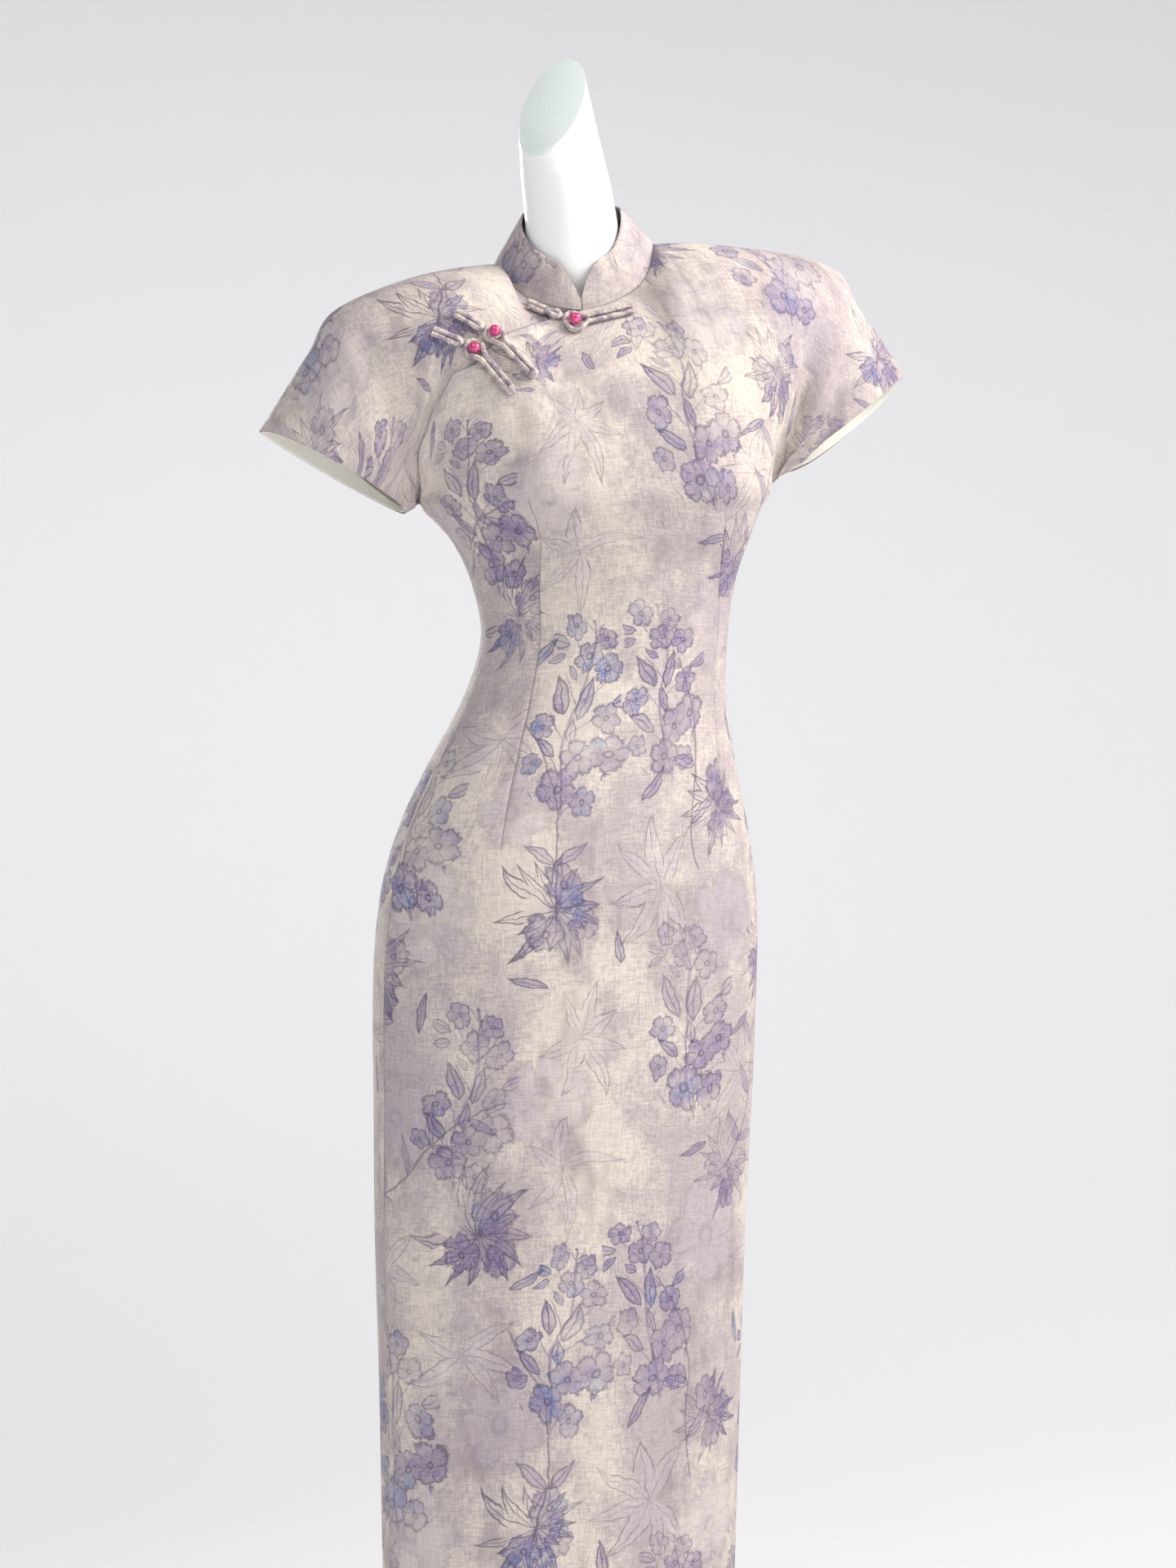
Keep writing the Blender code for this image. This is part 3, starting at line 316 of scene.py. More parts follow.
def clothGrid(levels, columns, back, sink=None):  # the surface with its folds and dart seams
    levels = np.asarray(levels, float)
    columns = np.array(np.broadcast_to(columns, (len(levels), np.shape(columns)[-1])), float)
    points, normals = bareGrid(levels, columns, back), gridNormals(levels, columns, back)
    share = ((levels - armpit) / yokeLevels)[:, None]
    seam = (columns <= 0) | (columns >= side)
    if levels[0] >= armpit:
        atTop = ((columns <= 2) | (columns >= 6)) & (share >= 1)
        seam = (seam & (share <= 0)) | atTop
    shared = unit(normals + gridNormals(levels, columns, not back))
    normals = np.where(seam[..., None], shared, normals)
    sleeve = np.clip(np.abs(columns - side / 2) - 3, 0, 1)
    calm = 1 - sleeve * (1 - np.clip(share / 0.12, 0, 1))
    calm = calm * np.clip((1 - share) / 0.12, 0, 1)
    millimetres = columnWidth * np.minimum(np.abs(columns - 2), np.abs(columns - 6))
    line = np.exp(-((millimetres / groove["half"]) ** 2)) * dartShare(points[..., 2], back) ** 0.4
    down = calm * foldDepth(points, back) + groove["depth"] * line
    if sink is not None:
        down = down + sink
    points = points - normals * down[..., None]
    if back:
        longer = smooth((columns - side - 1.2) / 1.8) * np.sin(np.pi * np.clip(share, 0, 1))
        points = points + (leftHem["longer"] * longer)[..., None] * leftHem["way"]
    return points, normals


edgeCurve = through(withEnds(openingLine), np.linspace(0, len(openingLine) - 1, 240))


def openingColumns(levels):  # where the opening's edge crosses each level
    columns = np.linspace(-0.4, 4.2, 240)
    grid = bareGrid(levels, columns, False)[..., [0, 2]]
    edge = []
    for row in grid:
        far = np.linalg.norm(row[:, None] - edgeCurve[None], axis=2).min(axis=1)
        edge.append(columns[far.argmin()])
    edge = np.array(edge)
    edge[0], edge[-1] = 0.0, 4.0
    edge[1:-1] = np.convolve(edge, np.ones(3) / 3, "same")[1:-1]
    return edge * 0.999


print("surface ready")

mm = 0.001


def makeMesh(name, points, faces, corners=None):  # points in mm
    mesh = bpy.data.meshes.new(name)
    mesh.from_pydata((np.asarray(points) * mm).tolist(), [], [list(face) for face in faces])
    if corners is not None:  # place in the flat cut, in metres, at each corner of each face
        layer = mesh.uv_layers.new(name="cut")
        layer.data.foreach_set("uv", (np.asarray(corners) * mm).astype(np.float32).ravel())
    mesh.shade_smooth()
    made = bpy.data.objects.new(name, mesh)
    bpy.context.scene.collection.objects.link(made)
    return made


def weld(piece, distance=0.02):  # joins the vertices that two grids share
    shape = bmesh.new()
    shape.from_mesh(piece.data)
    bmesh.ops.remove_doubles(shape, verts=shape.verts, dist=distance * mm)
    shape.to_mesh(piece.data)
    shape.free()


def gridFaces(rows, columns, start=0, closed=False):
    index = np.arange(rows * columns).reshape(rows, columns) + start
    if closed:
        index = np.concatenate([index, index[:, :1]], axis=1)
    parts = (index[:-1, :-1], index[:-1, 1:], index[1:, 1:], index[1:, :-1])
    return np.stack(parts, axis=-1).reshape(-1, 4)


def lengths(points, axis):  # how far along the grid each point lies
    steps = np.linalg.norm(np.diff(points, axis=axis), axis=-1)
    return np.cumsum(np.insert(steps, 0, 0, axis=axis), axis=axis)


def flatCut(points, columns, middle, start):  # each point's place in the flat cut: across from the
    u, v = lengths(points, 1), lengths(points, 0) + start  # middle column, up from the start
    zero = [np.interp(middle, c, row) for c, row in zip(np.broadcast_to(columns, u.shape), u)]
    return np.stack([u - np.array(zero)[:, None], v], axis=-1)


# A sheet's thickness, how far its rim is drawn back from the next piece, and where the back is
# cut from, in the print
clothSheet = {"thickness": 1.1, "rim": 0.06, "backCut": (173, 118)}


# Cloth made of grids of points, their places in the cut, and what a dart takes up there
def sheetMesh(name, grids, isBack=False):
    allPoints, allFaces, allCorners, count = [], [], [], 0
    for points, cut, intake in grids:
        faces = gridFaces(*points.shape[:2])[:, :: -1 if isBack else 1]
        corners = cut.reshape(-1, 2)[faces]
        if intake is not None:
            corners[..., 0] += intake.reshape(-1)[faces] * outerFaces(points.shape)[:, None]
        if isBack:
            corners = corners * [-1, 1] + clothSheet["backCut"]
        allPoints.append(points.reshape(-1, 3))
        allFaces.append(faces + count)
        allCorners.append(corners)
        count += points.shape[0] * points.shape[1]
    piece = makeMesh(name, *map(np.concatenate, (allPoints, allFaces, allCorners)))
    weld(piece)
    shape = bmesh.new()
    shape.from_mesh(piece.data)
    for vert in [v for v in shape.verts if v.is_boundary]:
        inner = [e.other_vert(vert).co for e in vert.link_edges if not e.is_boundary]
        if inner:
            way = sum((co - vert.co for co in inner), Vector()).normalized()
            vert.co += way * clothSheet["rim"] * mm
    shape.to_mesh(piece.data)
    shape.free()
    solid = piece.modifiers.new("thickness", "SOLIDIFY")
    solid.thickness = clothSheet["thickness"] * mm
    solid.offset = -1
    # the rims take the darker turned-edge colour, which is painted shade
    solid.material_offset, solid.material_offset_rim = 1, 2  # the reverse and the turned edge
    return piece


# Fine control columns: close beside the darts, even elsewhere
beside = np.array([0, 0.02, 0.045, 0.08, 0.13])
spots = np.concatenate([[2 + s * k, 6 + s * k] for s in (-1, 1) for k in beside])
even = np.arange(0, side + 0.001, 0.07)
even = even[np.minimum(np.abs(even - 2), np.abs(even - 6)) > 0.16]
panelColumns = np.unique(np.round(np.concatenate([even, spots, [0, 4, side]]), 4))
sleeveColumns = np.array([*np.linspace(0.08, 2.66, 26), 2.74, 2.8, 2.84, 2.88, 2.94, 2.98, 3.0])
torsoLevels = np.unique(np.concatenate([np.linspace(a, a + 1, n + 1) for a, n in zip(
    range(armpit), np.ceil(np.diff(rings[:, 0]) / 5.2).astype(int))]))
yokeSteps = np.linspace(armpit, top, 66)


def outerFaces(shape):  # -1, 0 or 1 for the faces beyond the darts of a torso grid
    middle = (panelColumns[1:] + panelColumns[:-1]) / 2
    way = np.where(middle < 2, -1, np.where(middle > 6, 1, 0))
    return np.broadcast_to(way, (shape[0] - 1, shape[1] - 1)).reshape(-1)


slits = {"top": 330, "length": 130, "open": 7.0}


def slitsOpened(points):  # the side edges drawn apart below the top of the slits
    openBy = slits["open"] * np.clip((slits["top"] - points[..., 2]) / slits["length"], 0, 1)
    width = lengths(points, 1)
    moved = points.copy()
    for end, near in ((0, width), (-1, width[:, -1:] - width)):
        inward = unit(points[:, 3 if end == 0 else -4] - points[:, end])
        share = (1 - smooth(near / 30)) * openBy[:, [end]]
        moved += inward[:, None] * share[..., None]
    return moved


def torsoGrid(back):  # below the armpits; its top row is the yoke's lowest one
    points, _ = clothGrid(torsoLevels, panelColumns, back)
    joined, _ = clothGrid(np.array([armpit, armpit + 1.0]), panelColumns, back)
    share = smooth(torsoLevels - armpit + 1)[:, None, None]
    points = slitsOpened(points + (joined[0] - points[-1]) * share)
    cut = flatCut(points, panelColumns, 4, 0)
    return points, cut, dartIntake[back] * dartShare(points[..., 2], back)


def yokeCut(points, columns, torsoCut):  # on from the top row of the torso's cut
    first = np.broadcast_to(columns, points.shape[:2])[0]
    start = np.interp(first, panelColumns, torsoCut[-1, :, 1])
    return flatCut(points, columns, 4, start)


hem = {"width": 14.0, "half": 2.2, "depth": 0.7}  # of a sleeve, and the line of its stitches


def hemFold(points, columns):  # how deep the hem's stitched line lies
    width = lengths(points, 1)
    down = np.zeros(points.shape[:2])
    for near, used in ((width, columns[:, :1] < -1), (width[:, -1:] - width, columns[:, -1:] > 9)):
        down += used * hem["depth"] * np.exp(-(((near - hem["width"]) / hem["half"]) ** 2))
    return down


def yokeGrid(columns, back, sink=None):  # above the armpits, with its sleeves
    columns = np.broadcast_to(columns, (len(yokeSteps), np.shape(columns)[-1]))
    points, normals = clothGrid(yokeSteps, columns, back, sink)
    return points - normals * hemFold(points, columns)[..., None]


edges = openingColumns(yokeSteps)
backTorso, frontTorso = torsoGrid(True), torsoGrid(False)

allColumns = np.concatenate([-sleeveColumns[::-1], panelColumns, side + sleeveColumns])
backYoke = yokeGrid(allColumns, True)
backCut = yokeCut(backYoke, allColumns, backTorso[1])
back = sheetMesh("cheongsamBack", [backTorso, (backYoke, backCut, None)], isBack=True)

# From the opening's edge to the column at the anchor, the front's columns draw closer up the yoke
anchor = int(np.searchsorted(panelColumns, 4.6))
fixed = panelColumns[anchor]
right = edges[:, None] + (fixed - edges[:, None]) * panelColumns[None, : anchor + 1] / fixed
rest = np.concatenate([panelColumns[anchor + 1 :], side + sleeveColumns])
frontColumns = np.concatenate([right, np.broadcast_to(rest, (len(right), len(rest)))], axis=1)
fromEdge = (frontColumns - edges[:, None]) * columnWidth
edgeRoll = 0.4 * np.exp(-(fromEdge**2))  # the opening edge turns in over its last millimetre
frontYoke = yokeGrid(frontColumns, False, edgeRoll)
frontCut = yokeCut(frontYoke, frontColumns, frontTorso[1])
front = sheetMesh("cheongsamFront", [frontTorso, (frontYoke, frontCut, None)])


# Painted shade: the cloth's colour is darkened where this attribute is 1, along the darts' seams and the
# opening's edge
def markSeamShade(piece, spots):  # an attribute that is 1 at the vertices by the spots
    own = np.array([v.co for v in piece.data.vertices]) / mm
    near = [np.linalg.norm(spots - point, axis=1).min() < 0.3 for point in own]
    layer = piece.data.attributes.new("seam", "FLOAT", "POINT")
    layer.data.foreach_set("value", np.array(near, np.float32))


def dartPoints(points, back):  # of a torso grid, along its darts' seams
    rows = points[dartShare(points[:, 0, 2], back) > 0.04]
    return rows[:, np.isin(panelColumns, (2, 6))].reshape(-1, 3)


# painted shade along the opening's edge and the darts' seams
markSeamShade(front, np.concatenate([frontYoke[3:, 0], dartPoints(frontTorso[0], False)]))
markSeamShade(back, dartPoints(backTorso[0], True))

# The under front reaches under the front's edge by the underlap, in columns, and sinks below it
underLayer = {"underlap": 0.35, "sunk": 3.9, "fall": 1.3, "flat": 0.25}
underlap = underLayer["underlap"]
steps, share = np.linspace(0, 1, 74), (yokeSteps - armpit) / yokeLevels
even = (edges[:, None] + underlap) * steps
knots = [0, 6 / 13, 12 / 13, 1]  # one nears column 2, at the collar, and one is at the front's edge
fitted = np.array([
    np.interp(steps, knots, [0, e / 2 + (2 - e / 2) * s**6, e, e + underlap]) for e, s in zip(edges, share)
])
underColumns = even + (fitted - even) * share[:, None]
sleeve = np.broadcast_to(-sleeveColumns[::-1], (len(yokeSteps), len(sleeveColumns)))
underColumns = np.concatenate([sleeve, underColumns], axis=1)
fall, level = underLayer["fall"], underLayer["flat"]
sunk = underLayer["sunk"] * smooth((underColumns - edges[:, None] + fall) / (fall - level))
underPoints = yokeGrid(underColumns, False, sunk)
underCut = flatCut(underPoints, underColumns, 2, 0)
underFront = sheetMesh("cheongsamUnderFront", [(underPoints, underCut, None)])


facing = {"from": 2.1, "clear": 2.1, "wall": 0.9}  # first column, depth below the cloth, thickness


def facingRing(name, which):  # the pale band inside a sleeve's hem
    at = np.linspace(facing["from"], sleeveSteps, 16)
    columns = side + at if which == "left" else -at[::-1]
    halves = []
    for isBack in (False, True):
        points, normals = clothGrid(yokeSteps, columns, isBack)
        halves.append((points - normals * facing["clear"], normals))
    loop = np.concatenate([halves[0][0], halves[1][0][-2:0:-1]])
    normals = np.concatenate([halves[0][1], halves[1][1][-2:0:-1]])
    inner = loop - normals * facing["wall"]
    count, wide = loop.shape[:2]
    cut = flatCut(loop, columns, columns[0], 0)
    layer = gridFaces(count + 1, wide) % (count * wide)  # round the arm, back to the first row
    faces = [layer, layer[:, ::-1] + count * wide]
    for edge in (0, wide - 1):
        a = np.arange(count) * wide + edge
        b = np.roll(a, -1)
        faces.append(np.stack([a, b, b + count * wide, a + count * wide], axis=-1))
    faces = np.concatenate(faces)
    flat = np.concatenate([cut.reshape(-1, 2)] * 2)
    piece = makeMesh(name, np.concatenate([loop.reshape(-1, 3), inner.reshape(-1, 3)]), faces, flat[faces])
    straighten(piece)
    return piece


def straighten(piece):  # faces turned to point outward
    shape = bmesh.new()
    shape.from_mesh(piece.data)
    bmesh.ops.recalc_face_normals(shape, faces=shape.faces)
    shape.to_mesh(piece.data)
    shape.free()


facingLeft = facingRing("sleeveFacingLeft", "left")
facingRight = facingRing("sleeveFacingRight", "right")
print("cloth ready")

# The standing collar: its front corners are rounded down to the neckline; its top edge is round a
# middle of its own
collarBand = {
    "height": 38, "corner": 36, "gap": 1.4, "clear": 0.1, "wall": 2.0, "softEdge": 0.6,
    "top": {"middle": (1, 18), "halfWidth": 44.5, "depth": 47},
}


def collarGrid():  # outer surface, outward directions and the way along the seam
    level = np.array([top], float)
    ahead = bareGrid(level, np.linspace(4, 2, 40), False)[0]
    behind = bareGrid(level, np.linspace(2, 6, 80), True)[0]
    last = bareGrid(level, np.linspace(6, 4, 40), False)[0]
    curve = np.concatenate([ahead, behind[1:], last[1:]]) + [0, 0, collarBand["clear"]]
    along = lengths(curve, 0)
    ends = np.concatenate([np.linspace(0, 4, 6), np.linspace(4, 42, 26)[1:]]) + collarBand["gap"] / 2
    middle = np.linspace(ends[-1], along[-1] - ends[-1], 120)[1:-1]
    at = np.concatenate([ends, middle, along[-1] - ends[::-1]])
    base = np.stack([np.interp(at, along, curve[:, k]) for k in range(3)], axis=1)
    t = math.radians(neck["twist"])
    rel = base[:, :2] - neck["middle"]
    sideways = rel @ [math.cos(t), math.sin(t)] / neck["halfWidth"]
    forward = rel @ [math.sin(t), -math.cos(t)] / neck["front"]
    size = np.hypot(sideways, forward)
    rim = collarBand["top"]
    sideways, forward = rim["halfWidth"] * sideways / size, rim["depth"] * forward / size
    x = rim["middle"][0] + sideways * math.cos(t) + forward * math.sin(t)
    y = rim["middle"][1] + sideways * math.sin(t) - forward * math.cos(t)
    inward = np.hypot(x - base[:, 0], y - base[:, 1])
    rise = np.sqrt(np.maximum(collarBand["height"] ** 2 - inward**2, 1))
    edge = np.stack([x, y, base[:, 2] + rise], axis=1)
    share = np.clip(np.minimum(at, along[-1] - at) / collarBand["corner"], 0, 1)
    share = np.maximum(np.sqrt(1 - (1 - share) ** 2), 0.08)
    heights = np.linspace(0, 1, 22)[:, None, None]
    grid = base + (edge - base) * share[:, None] * heights
    flat = np.gradient(base, axis=0)
    normals = unit(np.stack([-flat[:, 1], flat[:, 0], np.zeros(len(flat))], axis=1))
    # the band's two layers swell a little between its seam and its edge
    waves = 0.5 * np.sin(at / 19) * np.sin(np.pi * heights[..., 0])
    return grid + normals * waves[..., None], normals, at


collarPoints, collarNormals, collarAt = collarGrid()
inner = collarPoints - collarNormals * collarBand["wall"]
rows, columns = collarPoints.shape[:2]
faces = [gridFaces(rows, columns), gridFaces(rows, columns, rows * columns)[:, ::-1]]
index = np.arange(rows * columns).reshape(rows, columns)
for border in (index[0], index[-1], index[:, 0], index[:, -1]):
    a, b = border[:-1], border[1:]
    faces.append(np.stack([a, b, b + rows * columns, a + rows * columns], axis=-1))
faces = np.concatenate(faces)
cut = np.stack([np.broadcast_to(collarAt, (rows, columns)), lengths(collarPoints, 0)], axis=-1)
flat = np.concatenate([cut.reshape(-1, 2)] * 2)
collar = makeMesh(
    "standingCollar", np.concatenate([collarPoints.reshape(-1, 3), inner.reshape(-1, 3)]), faces, flat[faces]
)
straighten(collar)
soften = collar.modifiers.new("soft edges", "BEVEL")
soften.width, soften.segments = collarBand["softEdge"] * mm, 2
soften.angle_limit = math.radians(50)


# Points and faces of a rough tube along a path; the radius may be one for each point
def tubeParts(path, radius, around, wobble, seed):
    path = np.asarray(path, float)
    radius = np.broadcast_to(radius, len(path))
    way = unit(np.gradient(path, axis=0))
    aside = unit(np.cross(way[0], [0, 1, 0.1]))
    frames = []
    for w in way:
        aside = unit(aside - w * (aside @ w))
        frames.append((aside, np.cross(w, aside)))
    a = np.arange(around) * 2 * np.pi / around
    rough = 1 + wobble * np.random.default_rng(seed).uniform(-1, 1, (len(path), around))
    ring = [
        p + r * k[:, None] * (np.cos(a)[:, None] * f[0] + np.sin(a)[:, None] * f[1])
        for p, r, f, k in zip(path, radius, frames, rough)
    ]
    points = np.concatenate([np.array(ring).reshape(-1, 3), path[[0, -1]]])
    n = len(path) * around
    faces = [list(f) for f in gridFaces(len(path), around, closed=True)]
    last = n - around
    for k in range(around):
        faces.append([(k + 1) % around, k, n])
        faces.append([last + k, last + (k + 1) % around, n + 1])
    return points, faces


def joinTubes(name, tubes):  # one piece of all tubes
    points, faces = [], []
    for p, f in tubes:
        start = sum(map(len, points))
        points.append(p)
        faces += [[i + start for i in face] for face in f]
    made = makeMesh(name, np.concatenate(points), faces)
    straighten(made)
    return made


def ground(spot, height, near=10):  # the point that far above the highest cloth near an (x, z)
    far = np.linalg.norm(groundPoints[:, [0, 2]] - spot, axis=1)
    close = np.argpartition(far, near)[:near]
    normal = unit(groundNormals[close].mean(axis=0))
    base = np.array([spot[0], groundPoints[close, 1].mean(), spot[1]])
    return base + normal * (height + ((groundPoints[close] - base) @ normal).max())


groundGrids = [
    clothGrid(yokeSteps, frontColumns, False, edgeRoll), clothGrid(yokeSteps, underColumns, False, sunk),
]
seen = underColumns < edges[:, None]
groundPoints = np.concatenate([groundGrids[0][0].reshape(-1, 3), groundGrids[1][0][seen]])
groundNormals = np.concatenate([groundGrids[0][1].reshape(-1, 3), groundGrids[1][1][seen]])

# Each frog: the outer ends of its two cords and its bead's place as x and z, the bead's radius,
# and how far cords and bead stand off the cloth
frogTable = {
    "collar": {"loop": (38, 1407), "bead": (-14, 1395), "knob": (-49, 1411), "radius": 5.5, "clear": 1.05},
    "upper": {"loop": (-60, 1351), "bead": (-88, 1383), "knob": (-118, 1401), "radius": 5.0, "clear": 0.7},
    "lower": {"loop": (-79, 1338), "bead": (-105, 1371), "knob": (-137, 1386), "radius": 5.0, "clear": 0.35},
}
cord = {"radius": 2.1, "spacing": 4.7, "lumps": 0.10, "rough": 0.10, "turn": 125}
knot = {"radius": 3.0, "cord": 1.9, "length": 5.0, "turns": 15}  # wound at a loop's end; turns in radians
frogPieces, beads = [], []


# A doubled cord from its end to the bead: round it at the turn's radius, or short of it by stop;
# the cord's middle lies that lift above the cloth
def cordPath(end, bead, lift, turnRadius, stop):
    end, bead = np.array(end, float), np.array(bead, float)
    way = unit(bead - end)
    sideways = np.array([-way[1], way[0]])
    half = cord["spacing"] / 2
    length = np.linalg.norm(bead - end)
    legs = length - (turnRadius * 1.5 if turnRadius else stop)
    out = [end + way * legs * k / 14 + sideways * half for k in range(15)]
    if turnRadius:
        turn = [
            bead + turnRadius * (math.cos(a) * way + math.sin(a) * sideways)
            for a in np.radians(np.linspace(cord["turn"], -cord["turn"], 19))
        ]
    else:
        a = np.linspace(0, np.pi, 7)
        turn = [out[-1] + way * half * math.sin(t) - sideways * half * (1 - math.cos(t)) for t in a[1:-1]]
    home = [point - sideways * 2 * half for point in out[::-1]]
    spots = np.array([*out, *turn, *home])
    points = np.array([ground(s, lift) for s in spots])
    return through(withEnds(points), np.linspace(0, len(points) - 1, 3 * len(points)))


for number, (name, frog) in enumerate(frogTable.items()):
    lift = cord["radius"] + frog["clear"]
    turn = math.sqrt((frog["radius"] + cord["radius"] + 0.5) ** 2 - (frog["radius"] - cord["radius"]) ** 2)
    stop = turn + 2 * cord["radius"] + 0.3 + cord["spacing"] / 2
    for part, turnRadius, short in (("loop", turn, 0), ("knob", 0, stop)):
        path = cordPath(frog[part], frog["bead"], lift, turnRadius, short)
        along = lengths(path, 0)
        lumps = 1 + cord["lumps"] * np.sin(along * 1.7 + number) * np.sin(along * 0.61)
        tubes = [tubeParts(path, cord["radius"] * lumps, 14, cord["rough"], number)]
        if turnRadius and name != "collar":  # the cords' ends are wound into a small knot
            way = unit(path[0] - path[8])
            heart = (path[0] + path[-1]) / 2 + way * 1.5
            sideways = unit(path[0] - path[-1])
            winds = np.linspace(0, 1, 40)[:, None]
            around = winds * knot["turns"]
            coil = heart + way * (winds - 0.5) * knot["length"] + knot["radius"] * (
                np.cos(around) * sideways + np.sin(around) * np.cross(way, sideways)
            )
            tubes.append(tubeParts(coil, knot["cord"], 12, cord["rough"], number + 5))
        piece = joinTubes(f"frog_{name}_{part}_cords", tubes)
        frogPieces.append((piece, f"frog_{name}_{part}"))
    middle = ground(np.array(frog["bead"], float), frog["radius"] + frog["clear"])
    bpy.ops.mesh.primitive_uv_sphere_add(
        segments=48, ring_count=32, radius=frog["radius"] * mm, location=middle * mm
    )
    bead = bpy.context.object
    bead.name = f"glassBead_{name}"
    bead.data.shade_smooth()
    beads.append((bead, f"bead_{name}"))
print("collar and frogs ready")

# The limbless form above the armpits: each ring's x, y and height, half width, how far it reaches
# ahead and behind, its tilt sideways and forward in degrees, and its squareness
formTop = np.array([
    (17, 10, 1290, 146, 94, 80, 3.2, 0, 2.2), (16, 12, 1322, 144, 80, 70, 3.4, 0, 2.2),
    (16, 14, 1352, 150, 66, 60, 3.5, 2, 2.2), (16, 16, 1378, 158, 54, 48, 3.5, 4, 2.2),
    (16, 17, 1398, 164, 47, 39, 3.5, 6, 2.2), (15, 17, 1411, 160, 43, 34, 3.7, 9, 2.2),
    (15, 17, 1422, 146, 40, 31, 3.9, 13, 2.2), (12, 18, 1429, 120, 38, 29, 4.0, 16, 2.1),
    (8, 19, 1435, 86, 37, 29, 4.2, 22, 2.0), (5, 20, 1445, 54, 39, 34, 4.2, 26, 2.0),
    (3, 20, 1465, 43, 42, 37, 2.0, 24, 2.0), (1, 19, 1488, 40, 40.5, 40, 0.0, 10, 2.0),
    (-4, 18, 1520, 38, 38, 38, 0.0, 0, 2.0),
], float)
neckCut = {"middle": (-16.5, 16, 1585), "radius": 29.0, "slope": (1.0, 1.1)}
formInset = 6.5  # of the form from the cloth


def formRing(row, angles):  # round the form at one of its rows
    x, y, height, halfWidth, ahead, behind, tilt, pitch, square = row
    a = np.radians(angles)
    sideways = np.sign(np.sin(a)) * np.abs(np.sin(a)) ** (2 / square) * halfWidth
    depth = np.where(np.cos(a) > 0, ahead, behind)
    forward = np.sign(np.cos(a)) * np.abs(np.cos(a)) ** (2 / square) * depth
    lift = sideways * math.tan(math.radians(tilt)) - forward * math.tan(math.radians(pitch))
    return np.stack([x + sideways, y - forward, height + lift], axis=1)


def cutRing(angles, lower=0.0, share=1.0):  # round the slanting cut of the neck
    a = np.radians(angles)
    off = neckCut["radius"] * share * np.stack([np.sin(a), -np.cos(a)], axis=1)
    x, y, z = neckCut["middle"]
    return np.stack([x + off[:, 0], y + off[:, 1], z + off @ np.array(neckCut["slope"]) - lower], axis=1)


def lofted(name, ringList):  # a closed skin over rings, with softened edges
    ringList = np.array(ringList)
    count, n = ringList.shape[:2]
    faces = [list(f) for f in gridFaces(count, n, closed=True)]
    faces += [list(range(n))[::-1], [(count - 1) * n + c for c in range(n)]]
    made = makeMesh(name, ringList.reshape(-1, 3), faces)
    straighten(made)
    soften = made.modifiers.new("soft edges", "BEVEL")
    soften.width, soften.segments, soften.angle_limit = 0.8 * mm, 3, math.radians(40)
    return made


plateData = {"thickness": 2.5, "share": 0.985, "gap": 0.3}  # share of the neck's radius
angles = np.arange(0, 360, 3.75)
formRings = [ringPoints(rings[level], angles, formInset) for level in range(3, armpit + 1)]
formRings += [formRing(row, angles) for row in formTop]
last = cutRing(angles, plateData["thickness"] + plateData["gap"])
formRings += [(formRings[-1] + last) / 2, last]
steps = np.linspace(0, len(formRings) - 1, 4 * len(formRings))
form = lofted("dressForm", through(withEnds(formRings), steps))
plateRings = [cutRing(angles, lower, plateData["share"]) for lower in (plateData["thickness"], 0)]
plate = lofted("neckPlate", plateRings)


def circle(radius, height, count=96):  # points of a level circle
    a = np.arange(count) * 2 * np.pi / count
    return np.stack([radius * np.cos(a), radius * np.sin(a), np.full(count, height)], axis=1)


def lathed(name, profile):  # turned from a profile of radius and height
    return lofted(name, [circle(*spot) for spot in profile])


stand = {  # radii of base, hub, pole and socket, and the heights of their edges
    "base": 170, "edge": 12, "rise": 7, "hub": 40, "pole": 14, "socket": 30, "socketLow": 593.7,
    "socketTop": 619.7, "gap": 0.3,
}
edge, crown = stand["edge"], stand["edge"] + stand["rise"]
dome = [
    (stand["hub"] + (stand["base"] - 2 - stand["hub"]) * k / 12, edge + stand["rise"] * (1 - (k / 12) ** 2))
    for k in range(13)
]
r = stand["base"]
base = lathed("standBase", [
    (0.5, crown), (20, crown), *dome, (r, edge - 2), (r, 1), (r - 1, 0), (0.5, 0),
])
r, low, high = stand["socket"], stand["socketLow"], stand["socketTop"]
socket = lathed("formSocket", [
    (0.5, high), (r - 2, high), (r, high - 2), (r, low + 6), (r - 6, low), (0.5, low),
])
r, low, high = stand["pole"], crown + stand["gap"], stand["socketLow"] - stand["gap"]
pole = lathed("standPole", [(0.5, high), (r, high), (r, 300), (r, low), (0.5, low)])
print("form and stand ready")

# Materials: their colours, in sRGB, and their patterns, in millimetres


def colour(code):
    parts = [int(code[k : k + 2], 16) / 255 for k in (1, 3, 5)]
    return (*[c / 12.92 if c <= 0.04045 else ((c + 0.055) / 1.055) ** 2.4 for c in parts], 1.0)


# A node of a kind and operation: its enabled inputs in order, as nodes, sockets or values,
# and its settings
def add(tree, kind, *values, **settings):
    kind, _, operation = kind.partition(".")
    made = tree.nodes.new("ShaderNode" + kind)
    if operation:
        made.operation = operation
    for key, value in settings.items():
        setattr(made, key, value)
    for socket, value in zip([s for s in made.inputs if s.enabled], values):
        if isinstance(value, bpy.types.Node):
            value = next(s for s in value.outputs if s.enabled)
        if isinstance(value, bpy.types.NodeSocket):
            tree.links.new(value, socket)
        elif value is not None:
            socket.default_value = value
    return made


def parts(tree, kind, source):  # a vector's or a colour's three parts, as sockets
    return add(tree, kind, source).outputs[:3]


# The print's drawing: soft steps, pen lines and shapes, each a value from 0 to 1

printRepeat = (404.0, 524.0)  # across and up


